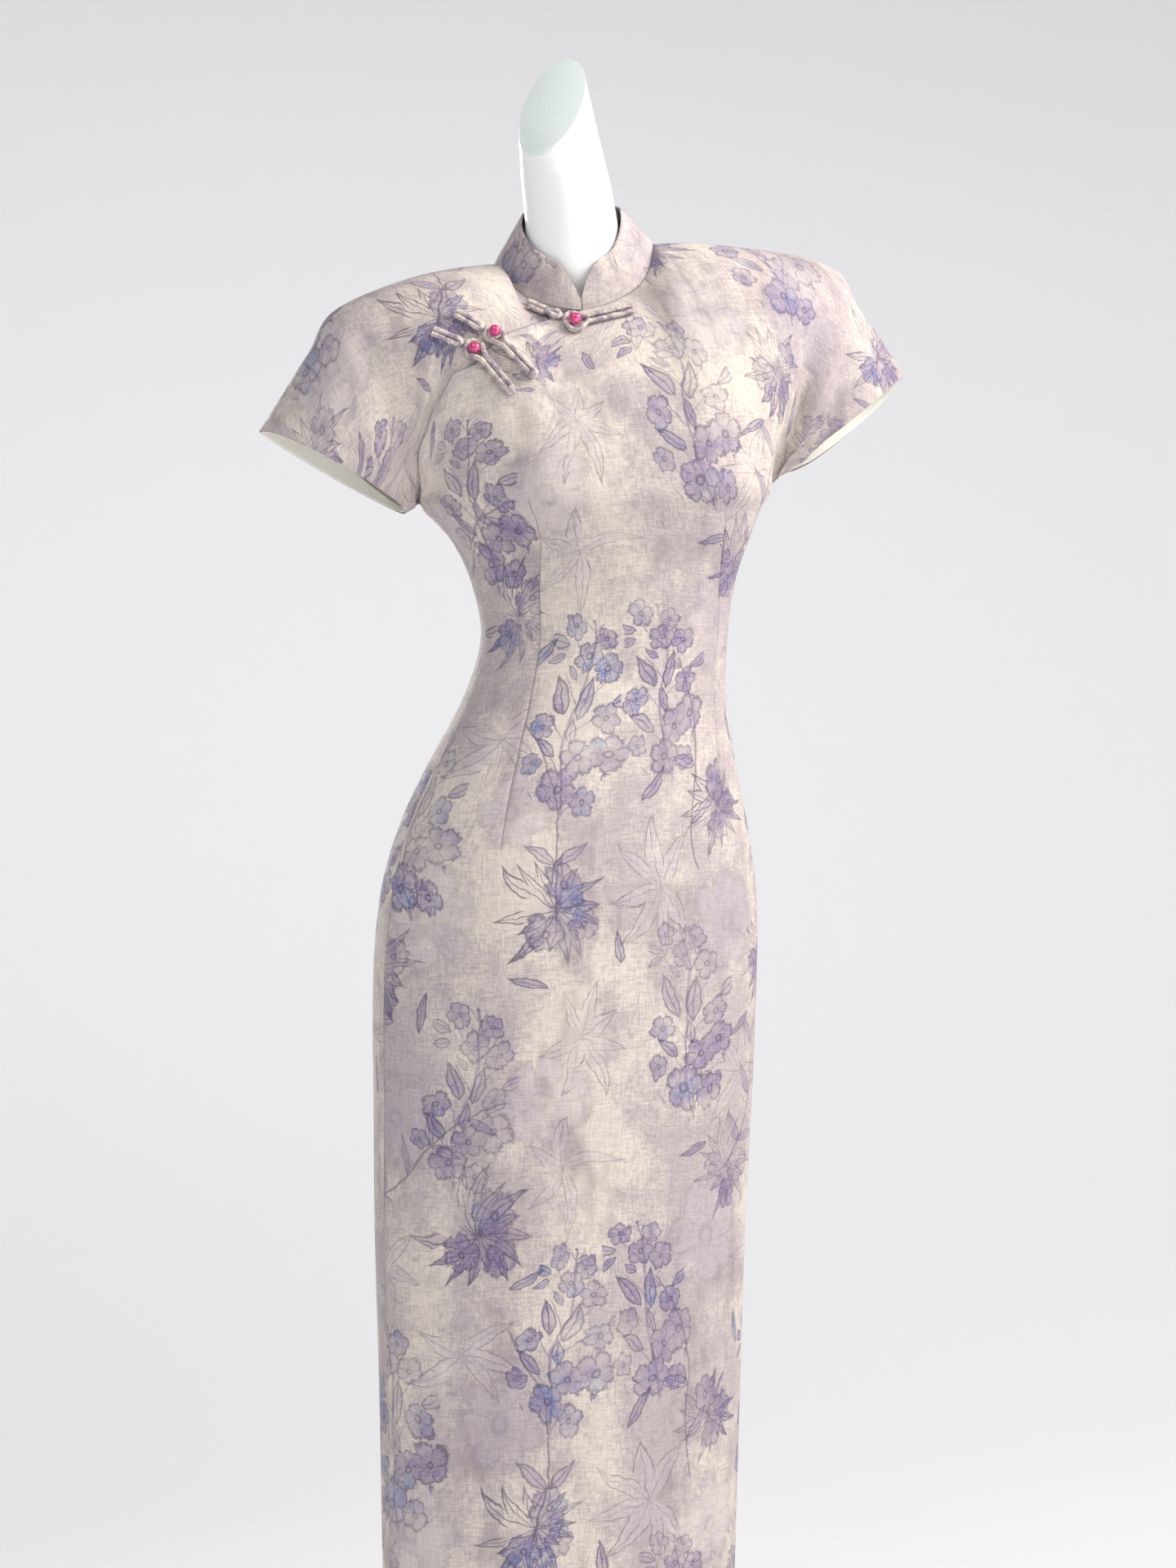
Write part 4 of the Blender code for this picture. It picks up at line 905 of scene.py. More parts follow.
# The place within the nearest of the spots, and how far out it is there, 1 at the spot's edge.
# A spot is x, y, turn, half width, half height and a tag that tells its flower from the others.
def nearest(tree, place, spots, wrapped):
    best = least = None
    for x, y, turn, wide, high, tag in spots:
        here = place
        if wrapped:
            here = add(tree, "VectorMath.SUBTRACT", here, (x, y, 0))
            half = (printRepeat[0] / 2, printRepeat[1] / 2, 0)
            here = add(tree, "VectorMath.WRAP", here, half, tuple(-k for k in half))
            x = y = 0
        spin = (0, 0, math.radians(turn))
        local = add(tree, "Mapping", here, (x, y, -tag), spin, (wide, high, 1), vector_type="TEXTURE")
        far = add(tree, "VectorMath.DISTANCE", local, (0, 0, tag))
        if best is None:
            best, least = local, far
            continue
        nearer = add(tree, "Math.LESS_THAN", far, least)
        best = add(tree, "Mix", nearer, best, local, data_type="VECTOR")
        least = add(tree, "Math.MINIMUM", far, least)
    return best, least


def above(tree, value, limit, width):  # 1 where the value is over the limit, in a soft step
    if limit:
        value = add(tree, "Math.SUBTRACT", value, limit)
    return add(tree, "Math.MULTIPLY", value, 1 / width, use_clamp=True)


def below(tree, value, limit, width):
    return add(tree, "Math.MULTIPLY", add(tree, "Math.SUBTRACT", limit, value), 1 / width, use_clamp=True)


def penLine(tree, value, width):  # 1 where the value is near zero
    off = add(tree, "Math.ABSOLUTE", value)
    return add(tree, "Math.MULTIPLY_ADD", off, -1 / width, 1.35, use_clamp=True)


def together(tree, *shares):
    made = shares[0]
    for share in shares[1:]:
        made = add(tree, "Math.MULTIPLY", made, share)
    return made


def largest(tree, *shares):
    made = shares[0]
    for share in shares[1:]:
        made = add(tree, "Math.MAXIMUM", made, share)
    return made


def dyed(tree, cloth, tint, *shares):  # the tint, a hex value or a node, over the cloth by all shares
    tint = colour(tint) if isinstance(tint, str) else tint
    return add(tree, "Mix", together(tree, *shares), cloth, tint, data_type="RGBA")


# How uneven something is, in patches of a size that may be stretched or drawn from elsewhere
def uneven(tree, place, size, detail=2.0, rough=0.5, stretch=(1, 1, 1), shift=0.0):
    if shift or stretch != (1, 1, 1):
        place = add(tree, "Mapping", place, (shift, shift, 0), None, stretch)
    return add(tree, "TexNoise", place, 1 / size, detail, rough, noise_dimensions="2D")


def blossom(tree, local, ruffle, petals=5):  # a flower of notched petals, within a radius of 1
    x, y, tag = parts(tree, "SeparateXYZ", local)
    r = add(tree, "VectorMath.LENGTH", add(tree, "VectorMath.MULTIPLY", local, (1, 1, 0)))
    turn = add(tree, "Math.ARCTAN2", y, x)
    wave = add(tree, "Math.COSINE", add(tree, "Math.MULTIPLY_ADD", turn, petals / 2, tag))
    wave = add(tree, "Math.ABSOLUTE", wave)
    lobe = add(tree, "Math.POWER", wave, 0.45)
    reach = add(tree, "Math.MULTIPLY_ADD", lobe, 0.36, add(tree, "Math.MULTIPLY_ADD", ruffle, 0.3, 0.45))
    gap = add(tree, "Math.SUBTRACT", reach, r)
    fill = above(tree, gap, 0, 0.06)
    rim = penLine(tree, gap, 0.085)
    partings = together(tree, penLine(tree, wave, 0.14), above(tree, r, 0.3, 0.1), fill)
    veins = add(tree, "Math.SINE", add(tree, "Math.MULTIPLY", turn, petals * 6.0))
    veins = together(tree, above(tree, veins, 0.55, 0.4), below(tree, r, 0.55, 0.2), 0.6)
    heart = penLine(tree, add(tree, "Math.SUBTRACT", r, 0.16), 0.07)
    return fill, largest(tree, rim, partings, veins, heart)


def leaf(tree, x, y, pen):  # a pointed leaf from x = -1 to 1 whose half width is 1 in y
    belly = add(tree, "Math.MULTIPLY_ADD", add(tree, "Math.MULTIPLY", x, x), -1.0, 1.0)
    lean = add(tree, "Math.MAXIMUM", add(tree, "Math.MULTIPLY_ADD", x, -0.28, 0.72), 0.3)
    gap = add(tree, "Math.SUBTRACT", together(tree, belly, lean, 1.4), add(tree, "Math.ABSOLUTE", y))
    fill = above(tree, gap, 0, 0.12)
    rib = together(tree, penLine(tree, y, pen * 0.6), fill)
    return fill, largest(tree, penLine(tree, gap, pen), rib)


# Long petals round a middle, each of its own length and width, in millimetres; also y and each
# petal's chance
def rays(tree, local, flower):
    place = add(tree, "VectorMath.MULTIPLY", local, flower["size"])
    x, y, tag = parts(tree, "SeparateXYZ", place)
    r = add(tree, "VectorMath.LENGTH", add(tree, "VectorMath.MULTIPLY", place, (1, 1, 0)))
    turn = add(tree, "Math.ARCTAN2", y, x)
    bent = add(tree, "Math.MULTIPLY_ADD", r, add(tree, "Math.MULTIPLY", tag, 0.002), turn)
    steps = add(tree, "Math.MULTIPLY_ADD", bent, flower["petals"] / (2 * math.pi), tag)
    sector = add(tree, "Math.FLOOR", steps)
    own = add(tree, "TexWhiteNoise", add(tree, "CombineXYZ", sector, tag), noise_dimensions="2D")
    one, two, three = parts(tree, "SeparateColor", own.outputs["Color"])
    middle = add(tree, "Math.MULTIPLY_ADD", two, 0.36, add(tree, "Math.ADD", sector, 0.32))
    off = together(tree, add(tree, "Math.SUBTRACT", steps, middle), 2 * math.pi / flower["petals"], r)
    length = add(tree, "Math.MULTIPLY_ADD", one, flower["length"] / 2, flower["length"] / 2)
    along = add(tree, "Math.MULTIPLY_ADD", add(tree, "Math.DIVIDE", r, length), 2.0, -1.0)
    wide = add(tree, "Math.MULTIPLY_ADD", three, flower["width"] * 0.4, flower["width"] * 0.6)
    fill, lines = leaf(tree, along, add(tree, "Math.DIVIDE", off, wide), flower["pen"])
    return fill, lines, y, one


# What has become of the print: how washed out, faded and bare it is, from place to place
def wearOf(tree, place):
    weft = uneven(tree, place, 3.2, 2.0, 0.75, (0.35, 1.6, 1), 43.0)
    warp = uneven(tree, place, 3.2, 2.0, 0.75, (1.6, 0.35, 1), 51.0)
    grit = add(tree, "MapRange", add(tree, "Math.MULTIPLY", weft, warp), 0.17, 0.29, 0.35, 1.0)
    wash = add(tree, "MapRange", uneven(tree, place, 15, 3.0, 0.6, shift=19.0), 0.32, 0.62, 0.45, 1.0)
    faded = add(tree, "MapRange", uneven(tree, place, 84, shift=61.0), 0.37, 0.57, 0.24, 1.0)
    return {
        "grit": grit, "washed": together(tree, wash, grit), "fading": faded,
        "pen": add(tree, "Math.MULTIPLY_ADD", faded, 0.45, 0.55),  # pen lines last longer than fills
        "ruffle": uneven(tree, place, 3.4, 1.0, shift=5.0),
    }


groundCloth = {
    "mauve": "#C3B7B7", "cream": "#E0D5CA", "worn": "#B8ABAE", "stain": "#93848C", "bare": "#978B8E",
}


def paintGround(tree, place, wear):  # cream and mauve-grey in clouds, worn along both threads
    small = add(tree, "Math.MULTIPLY", uneven(tree, place, 46, 3.0, 0.7, shift=37.0), 0.38)
    patches = add(tree, "Math.MULTIPLY_ADD", uneven(tree, place, 150, 3.0, 0.62, (1, 0.72, 1)), 0.62, small)
    tone = add(tree, "MapRange", add(tree, "Math.MULTIPLY_ADD", wear["grit"], 0.07, patches), 0.48, 0.63)
    crosswise = uneven(tree, place, 26, 2.0, 0.7, (0.16, 1.9, 1))
    lengthwise = uneven(tree, place, 26, 2.0, 0.7, (1.9, 0.13, 1), 11.0)
    worn = add(tree, "MapRange", add(tree, "Math.MULTIPLY", crosswise, lengthwise), 0.17, 0.36)
    cloth = dyed(tree, colour(groundCloth["mauve"]), groundCloth["cream"], tone)
    cloth = dyed(tree, cloth, groundCloth["worn"], worn, add(tree, "Math.MULTIPLY_ADD", tone, -0.45, 0.62))
    stain = add(tree, "MapRange", uneven(tree, place, 62, 3.0, 0.66, (1, 0.55, 1), 83.0), 0.56, 0.74)
    cloth = dyed(tree, cloth, groundCloth["stain"], stain, 0.6)
    bare = add(tree, "Math.SUBTRACT", 1.0, wear["grit"])
    return dyed(tree, cloth, groundCloth["bare"], bare, add(tree, "Math.MULTIPLY_ADD", tone, -0.25, 0.52))


cloudFlowers = {
    "fill": "#B8ACBF", "pen": "#7F7283", "petals": 7,
    "spots": [
        (108, 168, 0, 44, 44, 0.5), (220, 172, 30, 50, 50, 1.1), (300, 268, 60, 40, 40, 1.9),
        (90, 420, 10, 48, 48, 2.4), (330, 20, 80, 42, 42, 3.0), (196, 520, 50, 46, 46, 0.1),
    ],
}


def paintClouds(tree, cloth, drawn, wear):  # pale flowers like clouds, under everything
    local, _ = nearest(tree, drawn, cloudFlowers["spots"], True)
    fill, lines = blossom(tree, local, wear["ruffle"], cloudFlowers["petals"])
    cloth = dyed(tree, cloth, cloudFlowers["fill"], fill, wear["washed"], 0.45)
    return dyed(tree, cloth, cloudFlowers["pen"], lines, wear["washed"], 0.38)


lilies = {
    "fill": "#CDC2CB", "ink": "#6C5D66", "petals": 8, "length": 62, "width": 8.5, "pen": 0.10,
    "size": (60, 60, 1),
    "spots": [
        (132, 30, 10, 62, 62, 0.7), (360, 74, 80, 58, 58, 1.5), (30, 196, 140, 60, 60, 2.2),
        (268, 330, 200, 66, 66, 2.9), (180, 394, 30, 56, 56, 0.2), (352, 486, 300, 60, 60, 3.6),
    ],
}


def paintLilies(tree, cloth, drawn, wear):  # drawn in line, with hardly any fill
    local, _ = nearest(tree, drawn, lilies["spots"], True)
    fill, lines, _, own = rays(tree, local, lilies)
    some = above(tree, own, 0.22, 0.02)
    cloth = dyed(tree, cloth, lilies["fill"], fill, some, 0.25)
    return dyed(tree, cloth, lilies["ink"], lines, some, wear["washed"], 0.8)


trails = {
    "fill": "#A395B2", "ink": "#695B6E", "leafEvery": 46, "size": (42, 96, 1),
    "spots": [
        (330, 262, 8, 42, 96, 1.3), (150, 22, -24, 40, 84, 2.6), (62, 300, 16, 42, 96, 0.5),
        (236, 500, -60, 40, 80, 3.3),
    ],
}


def paintTrails(tree, cloth, drawn, wear):  # stems that trail away, with a leaf now and then
    local, far = nearest(tree, drawn, trails["spots"], True)
    x, y, tag = parts(tree, "SeparateXYZ", add(tree, "VectorMath.MULTIPLY", local, trails["size"]))
    inside = below(tree, far, 1.0, 0.05)
    bow = add(tree, "Math.SINE", add(tree, "Math.MULTIPLY_ADD", y, 0.028, tag))
    off = add(tree, "Math.MULTIPLY_ADD", bow, -13.0, x)
    steps = add(tree, "Math.MULTIPLY_ADD", y, 1 / trails["leafEvery"], tag)
    rest = add(tree, "Math.MULTIPLY_ADD", add(tree, "Math.FRACT", steps), float(trails["leafEvery"]), -16.0)
    stalk = add(tree, "CombineXYZ", add(tree, "Math.ABSOLUTE", off), rest)
    spin = (0, 0, math.radians(33))
    local = add(tree, "Mapping", stalk, (15, 9, 0), spin, (17, 4.6, 1), vector_type="TEXTURE")
    leafX, leafY, _ = parts(tree, "SeparateXYZ", local)
    sides = add(tree, "CombineXYZ", add(tree, "Math.FLOOR", steps), add(tree, "Math.SIGN", off), tag)
    chance = add(tree, "TexWhiteNoise", sides).outputs["Value"]
    some = together(tree, above(tree, chance, 0.45, 0.01), inside)
    fill, lines = leaf(tree, leafX, leafY, 0.18)
    stem = together(tree, penLine(tree, off, 1.1), inside)
    cloth = dyed(tree, cloth, trails["fill"], fill, some, wear["washed"], 0.75)
    return dyed(tree, cloth, trails["ink"], largest(tree, together(tree, lines, some), stem), 0.66)


bursts = {
    "violet": "#7A6893", "blue": "#626AA2", "ink": "#4F4460", "flowerInk": "#54496A",
    "petals": 16, "length": 52, "width": 5.6, "pen": 0.15, "size": (60, 60, 1),
    "spots": [
        (170, 128, 0, 60, 60, 1.2), (330, 180, 40, 66, 66, 2.3), (96, 262, 75, 56, 56, 0.4),
        (272, 436, 20, 64, 64, 3.1), (118, 474, -30, 58, 58, 1.9),
    ],
    "flowers": [(20, 8, 25, 19, 17, 0), (-17, -9, 60, 15, 14, 0), (12, -21, 10, 14, 13, 0)],
}


def paintBursts(tree, cloth, place, drawn, wear):  # long petals, the lower ones filled in
    local, _ = nearest(tree, drawn, bursts["spots"], True)
    fill, lines, y, own = rays(tree, local, bursts)
    lower = add(tree, "MapRange", y, 14.0, -10.0)
    share = add(tree, "Math.MULTIPLY_ADD", lower, 0.5, add(tree, "Math.SUBTRACT", own, 0.35))
    some = above(tree, share, 0, 0.02)
    hue = add(tree, "MapRange", uneven(tree, place, 52, shift=29.0), 0.52, 0.70)
    ink = dyed(tree, colour(bursts["violet"]), bursts["blue"], hue)
    cloth = dyed(tree, cloth, ink, fill, wear["washed"], lower, wear["fading"], 0.95)
    cloth = dyed(tree, cloth, bursts["ink"], lines, some, wear["pen"], 0.78)
    local = add(tree, "VectorMath.MULTIPLY", local, bursts["size"])
    local, _ = nearest(tree, local, bursts["flowers"], False)
    fill, lines = blossom(tree, local, wear["ruffle"], 6)
    cloth = dyed(tree, cloth, ink, fill, wear["washed"], wear["fading"], 0.85)
    return dyed(tree, cloth, bursts["flowerInk"], lines, wear["pen"], 0.62)


racemes = {
    "violet": "#7F6E9C", "blue": "#506CAE", "stem": "#80728E", "leafInk": "#4C4263",
    "flowerInk": "#4E4466", "size": (50, 98, 1),
    "spots": [
        (62, 96, 5, 50, 98, 0.3), (262, 30, -7, 46, 92, 1.7), (196, 268, 4, 52, 100, 2.6),
        (356, 352, -9, 47, 94, 0.9), (24, 372, 8, 44, 88, 3.4),
    ],
    "flowers": [
        (-18, 66, 20, 11, 11, 0), (13, 60, 70, 10, 11, 0), (0, 44, 10, 14, 13, 0),
        (22, 36, 40, 14, 13, 0), (28, -6, 15, 13, 13, 0), (-27, -18, 55, 14, 12, 0),
        (34, -36, 30, 19, 18, 0), (12, -46, 60, 17, 16, 0), (-4, -72, 5, 19, 18, 0),
        (-33, -54, 35, 10, 10, 0), (22, -80, 50, 14, 13, 0),
    ],
    "leaves": [
        (0, 84, 84, 12, 4, 0), (16, 82, 52, 10, 3.4, 0), (-35, 54, 168, 11, 4, 0),
        (-33, 41, 205, 9, 3.4, 0), (-17, 10, 116, 19, 6.4, 0), (7, 8, 82, 19, 6.0, 0),
        (45, 12, 28, 14, 4.8, 0), (-22, -38, 140, 14, 5, 0), (46, -62, -40, 12, 4.2, 0),
        (-38, -78, 158, 13, 4.4, 0), (2, -22, 96, 12, 4, 0), (-12, 30, 132, 8, 3, 0),
    ],
}


def racemeInk(tree, place, tag):  # violet, and blue in parts of some racemes
    own = together(tree, add(tree, "Math.FRACT", add(tree, "Math.MULTIPLY", tag, 0.61)), 0.32)
    hue = add(tree, "Math.ADD", uneven(tree, place, 34, shift=47.0), own)
    hue = add(tree, "MapRange", hue, 0.62, 0.84)
    return dyed(tree, colour(racemes["violet"]), racemes["blue"], hue)


def paintRacemes(tree, cloth, place, drawn, wear):  # stem and twigs, leaves, flowers
    local, far = nearest(tree, drawn, racemes["spots"], True)
    local = add(tree, "VectorMath.MULTIPLY", local, racemes["size"])
    x, y, tag = parts(tree, "SeparateXYZ", local)
    bow = add(tree, "Math.SINE", add(tree, "Math.MULTIPLY", y, 0.045))
    aside = add(tree, "Math.ABSOLUTE", add(tree, "Math.MULTIPLY_ADD", bow, -3.5, x))
    inside = together(tree, below(tree, far, 1.0, 0.02), below(tree, y, 74.0, 1.0))
    twig = add(tree, "Math.PINGPONG", add(tree, "Math.MULTIPLY_ADD", aside, -1.25, y), 15.5)
    twig = together(tree, penLine(tree, twig, 1.1), below(tree, aside, 24.0, 4.0))
    stem = together(tree, largest(tree, below(tree, aside, 1.6, 0.7), twig), inside)
    cloth = dyed(tree, cloth, racemes["stem"], stem, wear["pen"], 0.68)

    ink, strength = racemeInk(tree, place, tag), together(tree, wear["washed"], wear["fading"])
    leafX, leafY, _ = parts(tree, "SeparateXYZ", nearest(tree, local, racemes["leaves"], False)[0])
    fill, lines = leaf(tree, leafX, leafY, 0.17)
    cloth = dyed(tree, cloth, ink, fill, strength, inside, 0.85)
    cloth = dyed(tree, cloth, racemes["leafInk"], lines, inside, wear["pen"], 0.74)
    fill, lines = blossom(tree, nearest(tree, local, racemes["flowers"], False)[0], wear["ruffle"])
    cloth = dyed(tree, cloth, ink, fill, strength, 0.92)
    return dyed(tree, cloth, racemes["flowerInk"], lines, wear["pen"], 0.68), ink


looseLeaves = {
    "ink": "#51465F",
    "spots": [
        (128, 72, 215, 15, 3.6, 0.4), (222, 94, 70, 17, 4.2, 1.3), (312, 118, 160, 14, 3.4, 2.1),
        (20, 284, 60, 18, 4.4, 2.7), (140, 332, 110, 15, 3.6, 0.8), (318, 400, 35, 16, 4.0, 1.8),
        (72, 496, 190, 18, 4.2, 3.2), (392, 150, 100, 17, 4.0, 0.1),
    ],
}


def paintLooseLeaves(tree, cloth, ink, drawn, wear):
    x, y, _ = parts(tree, "SeparateXYZ", nearest(tree, drawn, looseLeaves["spots"], True)[0])
    fill, lines = leaf(tree, x, y, 0.17)
    cloth = dyed(tree, cloth, ink, fill, wear["washed"], 0.8)
    return dyed(tree, cloth, looseLeaves["ink"], lines, 0.75)


# The threads' slubs, drawn 2.2 mm thick, as real ones of 0.3 mm wouldn't show, and specks
def paintThreads(tree, cloth, place):
    weft = uneven(tree, place, 2.2, 1.0, 0.7, (0.12, 1.3, 1), 3.0)
    warp = uneven(tree, place, 2.2, 1.0, 0.7, (1.3, 0.12, 1), 7.0)
    slub = add(tree, "MapRange", add(tree, "Math.ADD", weft, warp), 0.75, 1.25, 0.84, 0.97)
    cloth = add(tree, "VectorMath.SCALE", cloth, slub)
    dots = add(tree, "TexVoronoi", place, 1 / 9.0, voronoi_dimensions="2D").outputs["Distance"]
    few = above(tree, uneven(tree, place, 30, shift=71.0), 0.56, 0.04)
    return dyed(tree, cloth, "#57495A", below(tree, dots, 0.055, 0.03), few, 0.75)


def flowerPrint():  # a group that gives the cloth's colour from a place in its cut, in mm
    tree = bpy.data.node_groups.new("flower print", "ShaderNodeTree")
    tree.interface.new_socket("Place", in_out="INPUT", socket_type="NodeSocketVector")
    tree.interface.new_socket("Colour", in_out="OUTPUT", socket_type="NodeSocketColor")
    place = tree.nodes.new("NodeGroupInput").outputs[0]
    # the pen's hand: stems that sway and lines that waver
    sway = add(tree, "VectorMath.SUBTRACT", uneven(tree, place, 95, 1.0).outputs["Color"], (0.5, 0.5, 0.5))
    waver = add(tree, "VectorMath.SUBTRACT", uneven(tree, place, 11).outputs["Color"], (0.5, 0.5, 0.5))
    drawn = add(tree, "VectorMath.MULTIPLY_ADD", sway, (26, 26, 0), place)
    drawn = add(tree, "VectorMath.MULTIPLY_ADD", waver, (4.2, 4.2, 0), drawn)
    wear = wearOf(tree, place)
    cloth = paintGround(tree, place, wear)
    cloth = paintClouds(tree, cloth, drawn, wear)
    cloth = paintLilies(tree, cloth, drawn, wear)
    cloth = paintTrails(tree, cloth, drawn, wear)
    cloth = paintBursts(tree, cloth, place, drawn, wear)
    cloth, ink = paintRacemes(tree, cloth, place, drawn, wear)
    cloth = paintLooseLeaves(tree, cloth, ink, drawn, wear)
    cloth = paintThreads(tree, cloth, place)
    result = tree.nodes.new("NodeGroupOutput")
    tree.links.new(cloth.outputs[2], result.inputs[0])
    print(f"print drawn with {len(tree.nodes)} nodes")
    return tree


def newMaterial(name, values):  # a material with values on its shader's inputs, and its node tree
    made = bpy.data.materials.new(name)
    made.use_nodes = True
    for key, value in values.items():
        made.node_tree.nodes["Principled BSDF"].inputs[key].default_value = value
    return made, made.node_tree


def feed(tree, sources):  # nodes linked to the shader's inputs of those names
    for key, node in sources.items():
        output = next(s for s in node.outputs if s.enabled)
        tree.links.new(output, tree.nodes["Principled BSDF"].inputs[key])


def inCut(tree):  # the place in the flat cut, in millimetres
    return add(tree, "Mapping", add(tree, "UVMap", uv_map="cut"), None, None, (1000, 1000, 1000))


def inPiece(tree, scale=(1000, 1000, 1000)):  # the place on the piece, in millimetres or scaled
    return add(tree, "Mapping", add(tree, "TexCoord").outputs["Object"], None, None, scale)


# Ramie printed with flowers, matt. Its threads are drawn 0.9 mm wide, as real ones of 0.3 mm
# wouldn't show; the broad bumps are the soft wrinkles of wear.
printed, tree = newMaterial(
    "printed ramie cloth, plain woven", {"Roughness": 0.78, "Sheen Weight": 0.05, "Sheen Roughness": 0.5}
)
place = inCut(tree)
pattern = tree.nodes.new("ShaderNodeGroup")
pattern.node_tree = flowerPrint()
tree.links.new(place.outputs[0], pattern.inputs[0])
# painted shade: a dark line in the cloth's colour along the darts' seams and the opening's edge
seam = add(tree, "Attribute", attribute_name="seam").outputs["Fac"]
shade = dyed(tree, pattern.outputs[0], "#5F5157", above(tree, seam, 0.55, 0.2), 0.62)
wrinkles = add(tree, "Mapping", place, None, None, (0.6, 1.3, 1))
wrinkles = add(tree, "TexNoise", wrinkles, 1 / 34, 3.0, 0.55, noise_dimensions="2D")
warp = add(tree, "TexWave", place, 0.35, bands_direction="X").outputs["Fac"]
weft = add(tree, "TexWave", place, 0.35, bands_direction="Y").outputs["Fac"]
broad = add(tree, "Bump", 0.35, 0.0022, None, wrinkles)
fine = add(tree, "Bump", 0.2, 0.0003, None, add(tree, "Math.MULTIPLY", warp, weft), broad)
feed(tree, {"Base Color": shade, "Normal": fine})

# The same cloth turned in at its edges, coloured darker than the cloth as painted shade on the sheets' rims
shadedEdgeFinish, _ = newMaterial(
    "turned edge of printed ramie in painted shade", {"Base Color": colour("#8C7C82"), "Roughness": 0.9}
)

# The cloth's other side, where the ink has hardly come through
reverse, tree = newMaterial("reverse of the printed ramie", {"Roughness": 0.85})
mottle = add(tree, "TexNoise", inCut(tree), 1 / 60, 4.0, 0.65, noise_dimensions="2D")
shade = dyed(tree, colour("#D6CBD0"), "#E6DCD0", add(tree, "MapRange", mottle, 0.4, 0.62))
feed(tree, {"Base Color": shade})

# Habotai silk, smooth with a soft sheen
facingCloth, tree = newMaterial("pale habotai silk, plain woven", {"Roughness": 0.5, "Sheen Weight": 0.2})
mottle = add(tree, "TexNoise", inCut(tree), 1 / 12, 3.0, 0.6, noise_dimensions="2D")
puckers = add(tree, "Bump", 0.3, 0.0006, None, mottle)
feed(tree, {"Base Color": dyed(tree, colour("#FDFAEC"), "#FFFFF6", mottle), "Normal": puckers})

# Cords of the same cloth cut on the bias: only its ground shows, and pleats from turning, 2 mm apart
cordCloth, tree = newMaterial("bias strips of printed ramie, turned", {"Roughness": 0.78})
place = inPiece(tree)
mottle = add(tree, "MapRange", add(tree, "TexNoise", place, 1 / 7, 3.0, 0.6), 0.38, 0.62)
pleats = add(tree, "Bump", 0.8, 0.0012, None, add(tree, "TexNoise", place, 0.55, 2.0, 0.6))
feed(tree, {"Base Color": dyed(tree, colour("#988A9A"), "#DCD0C6", mottle), "Normal": pleats})

# Pressed glass, magenta with paler streaks of about 6 mm: glossy and a little translucent
glass, tree = newMaterial("pressed magenta glass", {
    "Roughness": 0.06, "IOR": 1.5, "Coat Weight": 1.0, "Coat Roughness": 0.02,
    "Subsurface Weight": 0.4, "Subsurface Scale": 0.004,
})
streaks = add(tree, "TexNoise", inPiece(tree), 0.16, 2.0, 0.6, 2.0, 1.5)
streaks = add(tree, "MapRange", streaks, 0.5, 0.75)
feed(tree, {"Base Color": dyed(tree, colour("#C22A72"), "#EE93BE", streaks)})

# Moulded fibreglass, sprayed white and lacquered: glossy, with a faint orange peel
shell, tree = newMaterial("white lacquered fibreglass", {
    "Base Color": colour("#FBFBFB"), "Roughness": 0.28, "Coat Weight": 0.5, "Coat Roughness": 0.08,
})
peel = add(tree, "TexNoise", inPiece(tree), 1 / 9, 2.0, 0.5)
feed(tree, {"Normal": add(tree, "Bump", 0.12, 0.0004, None, peel)})

# Board with a coat of enamel: even, half matt
plateFinish, tree = newMaterial("grey-green enamelled board", {"Roughness": 0.4})
mottle = add(tree, "TexNoise", inPiece(tree), 1 / 5, 3.0, 0.6)
feed(tree, {"Base Color": dyed(tree, colour("#E0ECE7"), "#ECF4F0", mottle)})

# Sheet and tube steel, turned and brushed round: blurred reflections. The marks are drawn 8 mm
# long and 1.4 mm apart, as real ones wouldn't show.
steel, tree = newMaterial("brushed steel", {"Base Color": colour("#C6C6C8"), "Metallic": 1.0})
brushed = add(tree, "TexNoise", inPiece(tree, (200, 200, 1200)), 0.6, 3.0, 0.7)
rough = add(tree, "MapRange", brushed, 0.3, 0.7, 0.22, 0.42)
feed(tree, {"Roughness": rough, "Normal": add(tree, "Bump", 0.2, 0.0002, None, brushed)})

floorFinish, _ = newMaterial("matt pale studio floor", {"Base Color": colour("#EDEDEF"), "Roughness": 0.9})

# What each piece stands for and is made of
sheets = (printed, reverse, shadedEdgeFinish)
for piece, node, slotName, *finishes in [
    (front, "front", "printed_cloth", *sheets), (back, "back", "printed_cloth", *sheets),
    (underFront, "under_front", "printed_cloth", *sheets), (collar, "collar", "printed_cloth", printed),
    (facingLeft, "facing_left", "facing_cloth", facingCloth),
    (facingRight, "facing_right", "facing_cloth", facingCloth),
    (form, "form", "form_shell", shell), (plate, "neck_plate", "neck_plate", plateFinish),
    (base, "base", "steel", steel), (pole, "pole", "steel", steel), (socket, "socket", "steel", steel),
    *[(piece, node, "printed_cloth", cordCloth) for piece, node in frogPieces],
    *[(bead, node, "bead_glass", glass) for bead, node in beads],
]:
    for finish in finishes:
        piece.data.materials.append(finish)
    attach(piece, "root")
    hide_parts(node)
print("materials ready")

# The studio, in metres: a floor that curves up all round
studioFloor = {"flat": 3.4, "radius": 9.0, "height": 6.0, "curve": 2.6}
flat, radius = studioFloor["flat"], studioFloor["radius"]
bowl = []
for r in [0.01, 2, flat, *np.linspace(flat + 0.4, radius, 27)]:
    rise = (max(r - flat, 0) / (radius - flat)) ** studioFloor["curve"]
    bowl.append(circle(r, studioFloor["height"] * rise))
faces = gridFaces(len(bowl), len(bowl[0]), closed=True)
floor = makeMesh("studioFloor", np.concatenate(bowl) / mm, faces)
floor.data.materials.append(floorFinish)

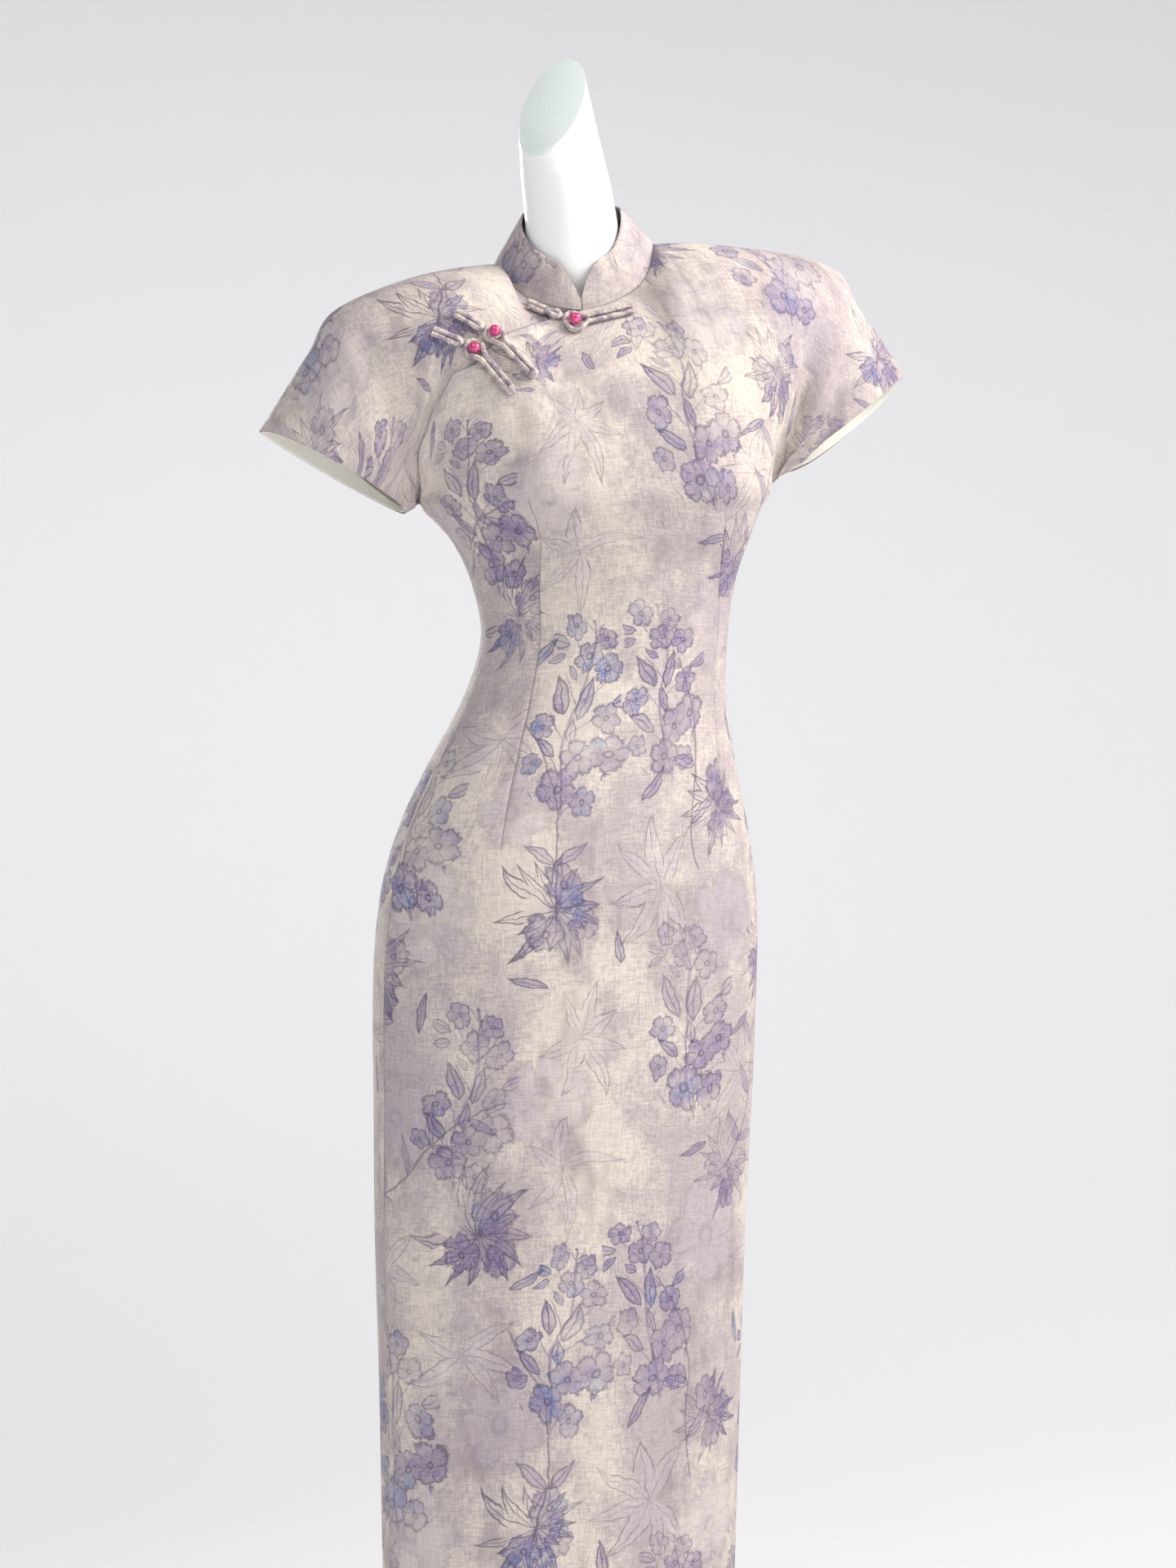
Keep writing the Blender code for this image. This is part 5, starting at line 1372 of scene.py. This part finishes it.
air = {"tint": "#F4F5F7", "strength": 0.34}
world = bpy.data.worlds.new("studio")
bpy.context.scene.world = world
world.use_nodes = True
background = world.node_tree.nodes["Background"].inputs
background["Color"].default_value = colour(air["tint"])
background["Strength"].default_value = air["strength"]


# A light that faces the dress from an azimuth and elevation; spread and a sun's size are in degrees
def light(name, kind, energy, azimuth, elevation, distance, size, tint="#FFFFFF", spread=180):
    data = bpy.data.lights.new(name, kind)
    data.energy, data.color = energy, colour(tint)[:3]
    if kind == "SUN":
        data.angle = math.radians(size)
    else:
        data.shape, data.size, data.spread = "DISK", size, math.radians(spread)
    made = bpy.data.objects.new(name, data)
    bpy.context.scene.collection.objects.link(made)
    a, e = math.radians(azimuth), math.radians(elevation)
    way = Vector((math.sin(a) * math.cos(e), -math.cos(a) * math.cos(e), math.sin(e)))
    made.location = Vector((0, 0, 1.0)) + way * distance
    made.rotation_mode = "QUATERNION"
    made.rotation_quaternion = (-way).to_track_quat("-Z", "Y")
    made.visible_camera = False
    return made


studioLights = {
    "frontal softness": ("SUN", 0.44, 14, 22, 5, 45),
    "key softbox": ("AREA", 60, 64, 42, 2.3, 1.1, "#FFF9F2"),
    "upper softness": ("AREA", 13, -30, 60, 2.6, 1.0),
    "low fill": ("AREA", 9.5, -34, -21, 2.4, 0.8),
    "back softness": ("AREA", 5, 185, 12, 3.2, 0.9, "#FFFFFF", 55),
}
for name, values in studioLights.items():
    light(name, *values)

# Lamps round the dress that face the floor and away from it: the energy of each by its azimuth
floorLamps = {7.5: 49, 52.5: 50, 97.5: 36, 136: 28, 172: 49, 232.5: 30, 277.5: 18, 322.5: 22}
for azimuth, energy in floorLamps.items():
    lamp = light(f"floor lamp {azimuth:.0f}", "AREA", energy, azimuth, 38, 4.6, 2.0)
    lamp.rotation_quaternion = (lamp.location * Vector((0.7, 0.7, -1.0))).to_track_quat("-Z", "Y")

view = {"azimuth": -15, "distance": 3.4, "height": 1.2, "pitch": 86.68, "lens": 90.56, "shift": 0.0078}
camera = bpy.data.objects.new("camera", bpy.data.cameras.new("camera"))
bpy.context.scene.collection.objects.link(camera)
azimuth = math.radians(view["azimuth"])
ahead = Vector((math.sin(azimuth), -math.cos(azimuth), 0))
camera.location = ahead * view["distance"] + Vector((0, 0, view["height"]))
camera.rotation_euler = (math.radians(view["pitch"]), 0, azimuth)
camera.data.lens, camera.data.sensor_width = view["lens"], 36
camera.data.shift_x, camera.data.clip_end = view["shift"], 60
bpy.context.scene.camera = camera
bpy.context.scene.view_settings.view_transform = "Standard"
bounces = bpy.context.scene.cycles
bounces.max_bounces, bounces.diffuse_bounces, bounces.glossy_bounces = 5, 3, 2

print("scene ready")
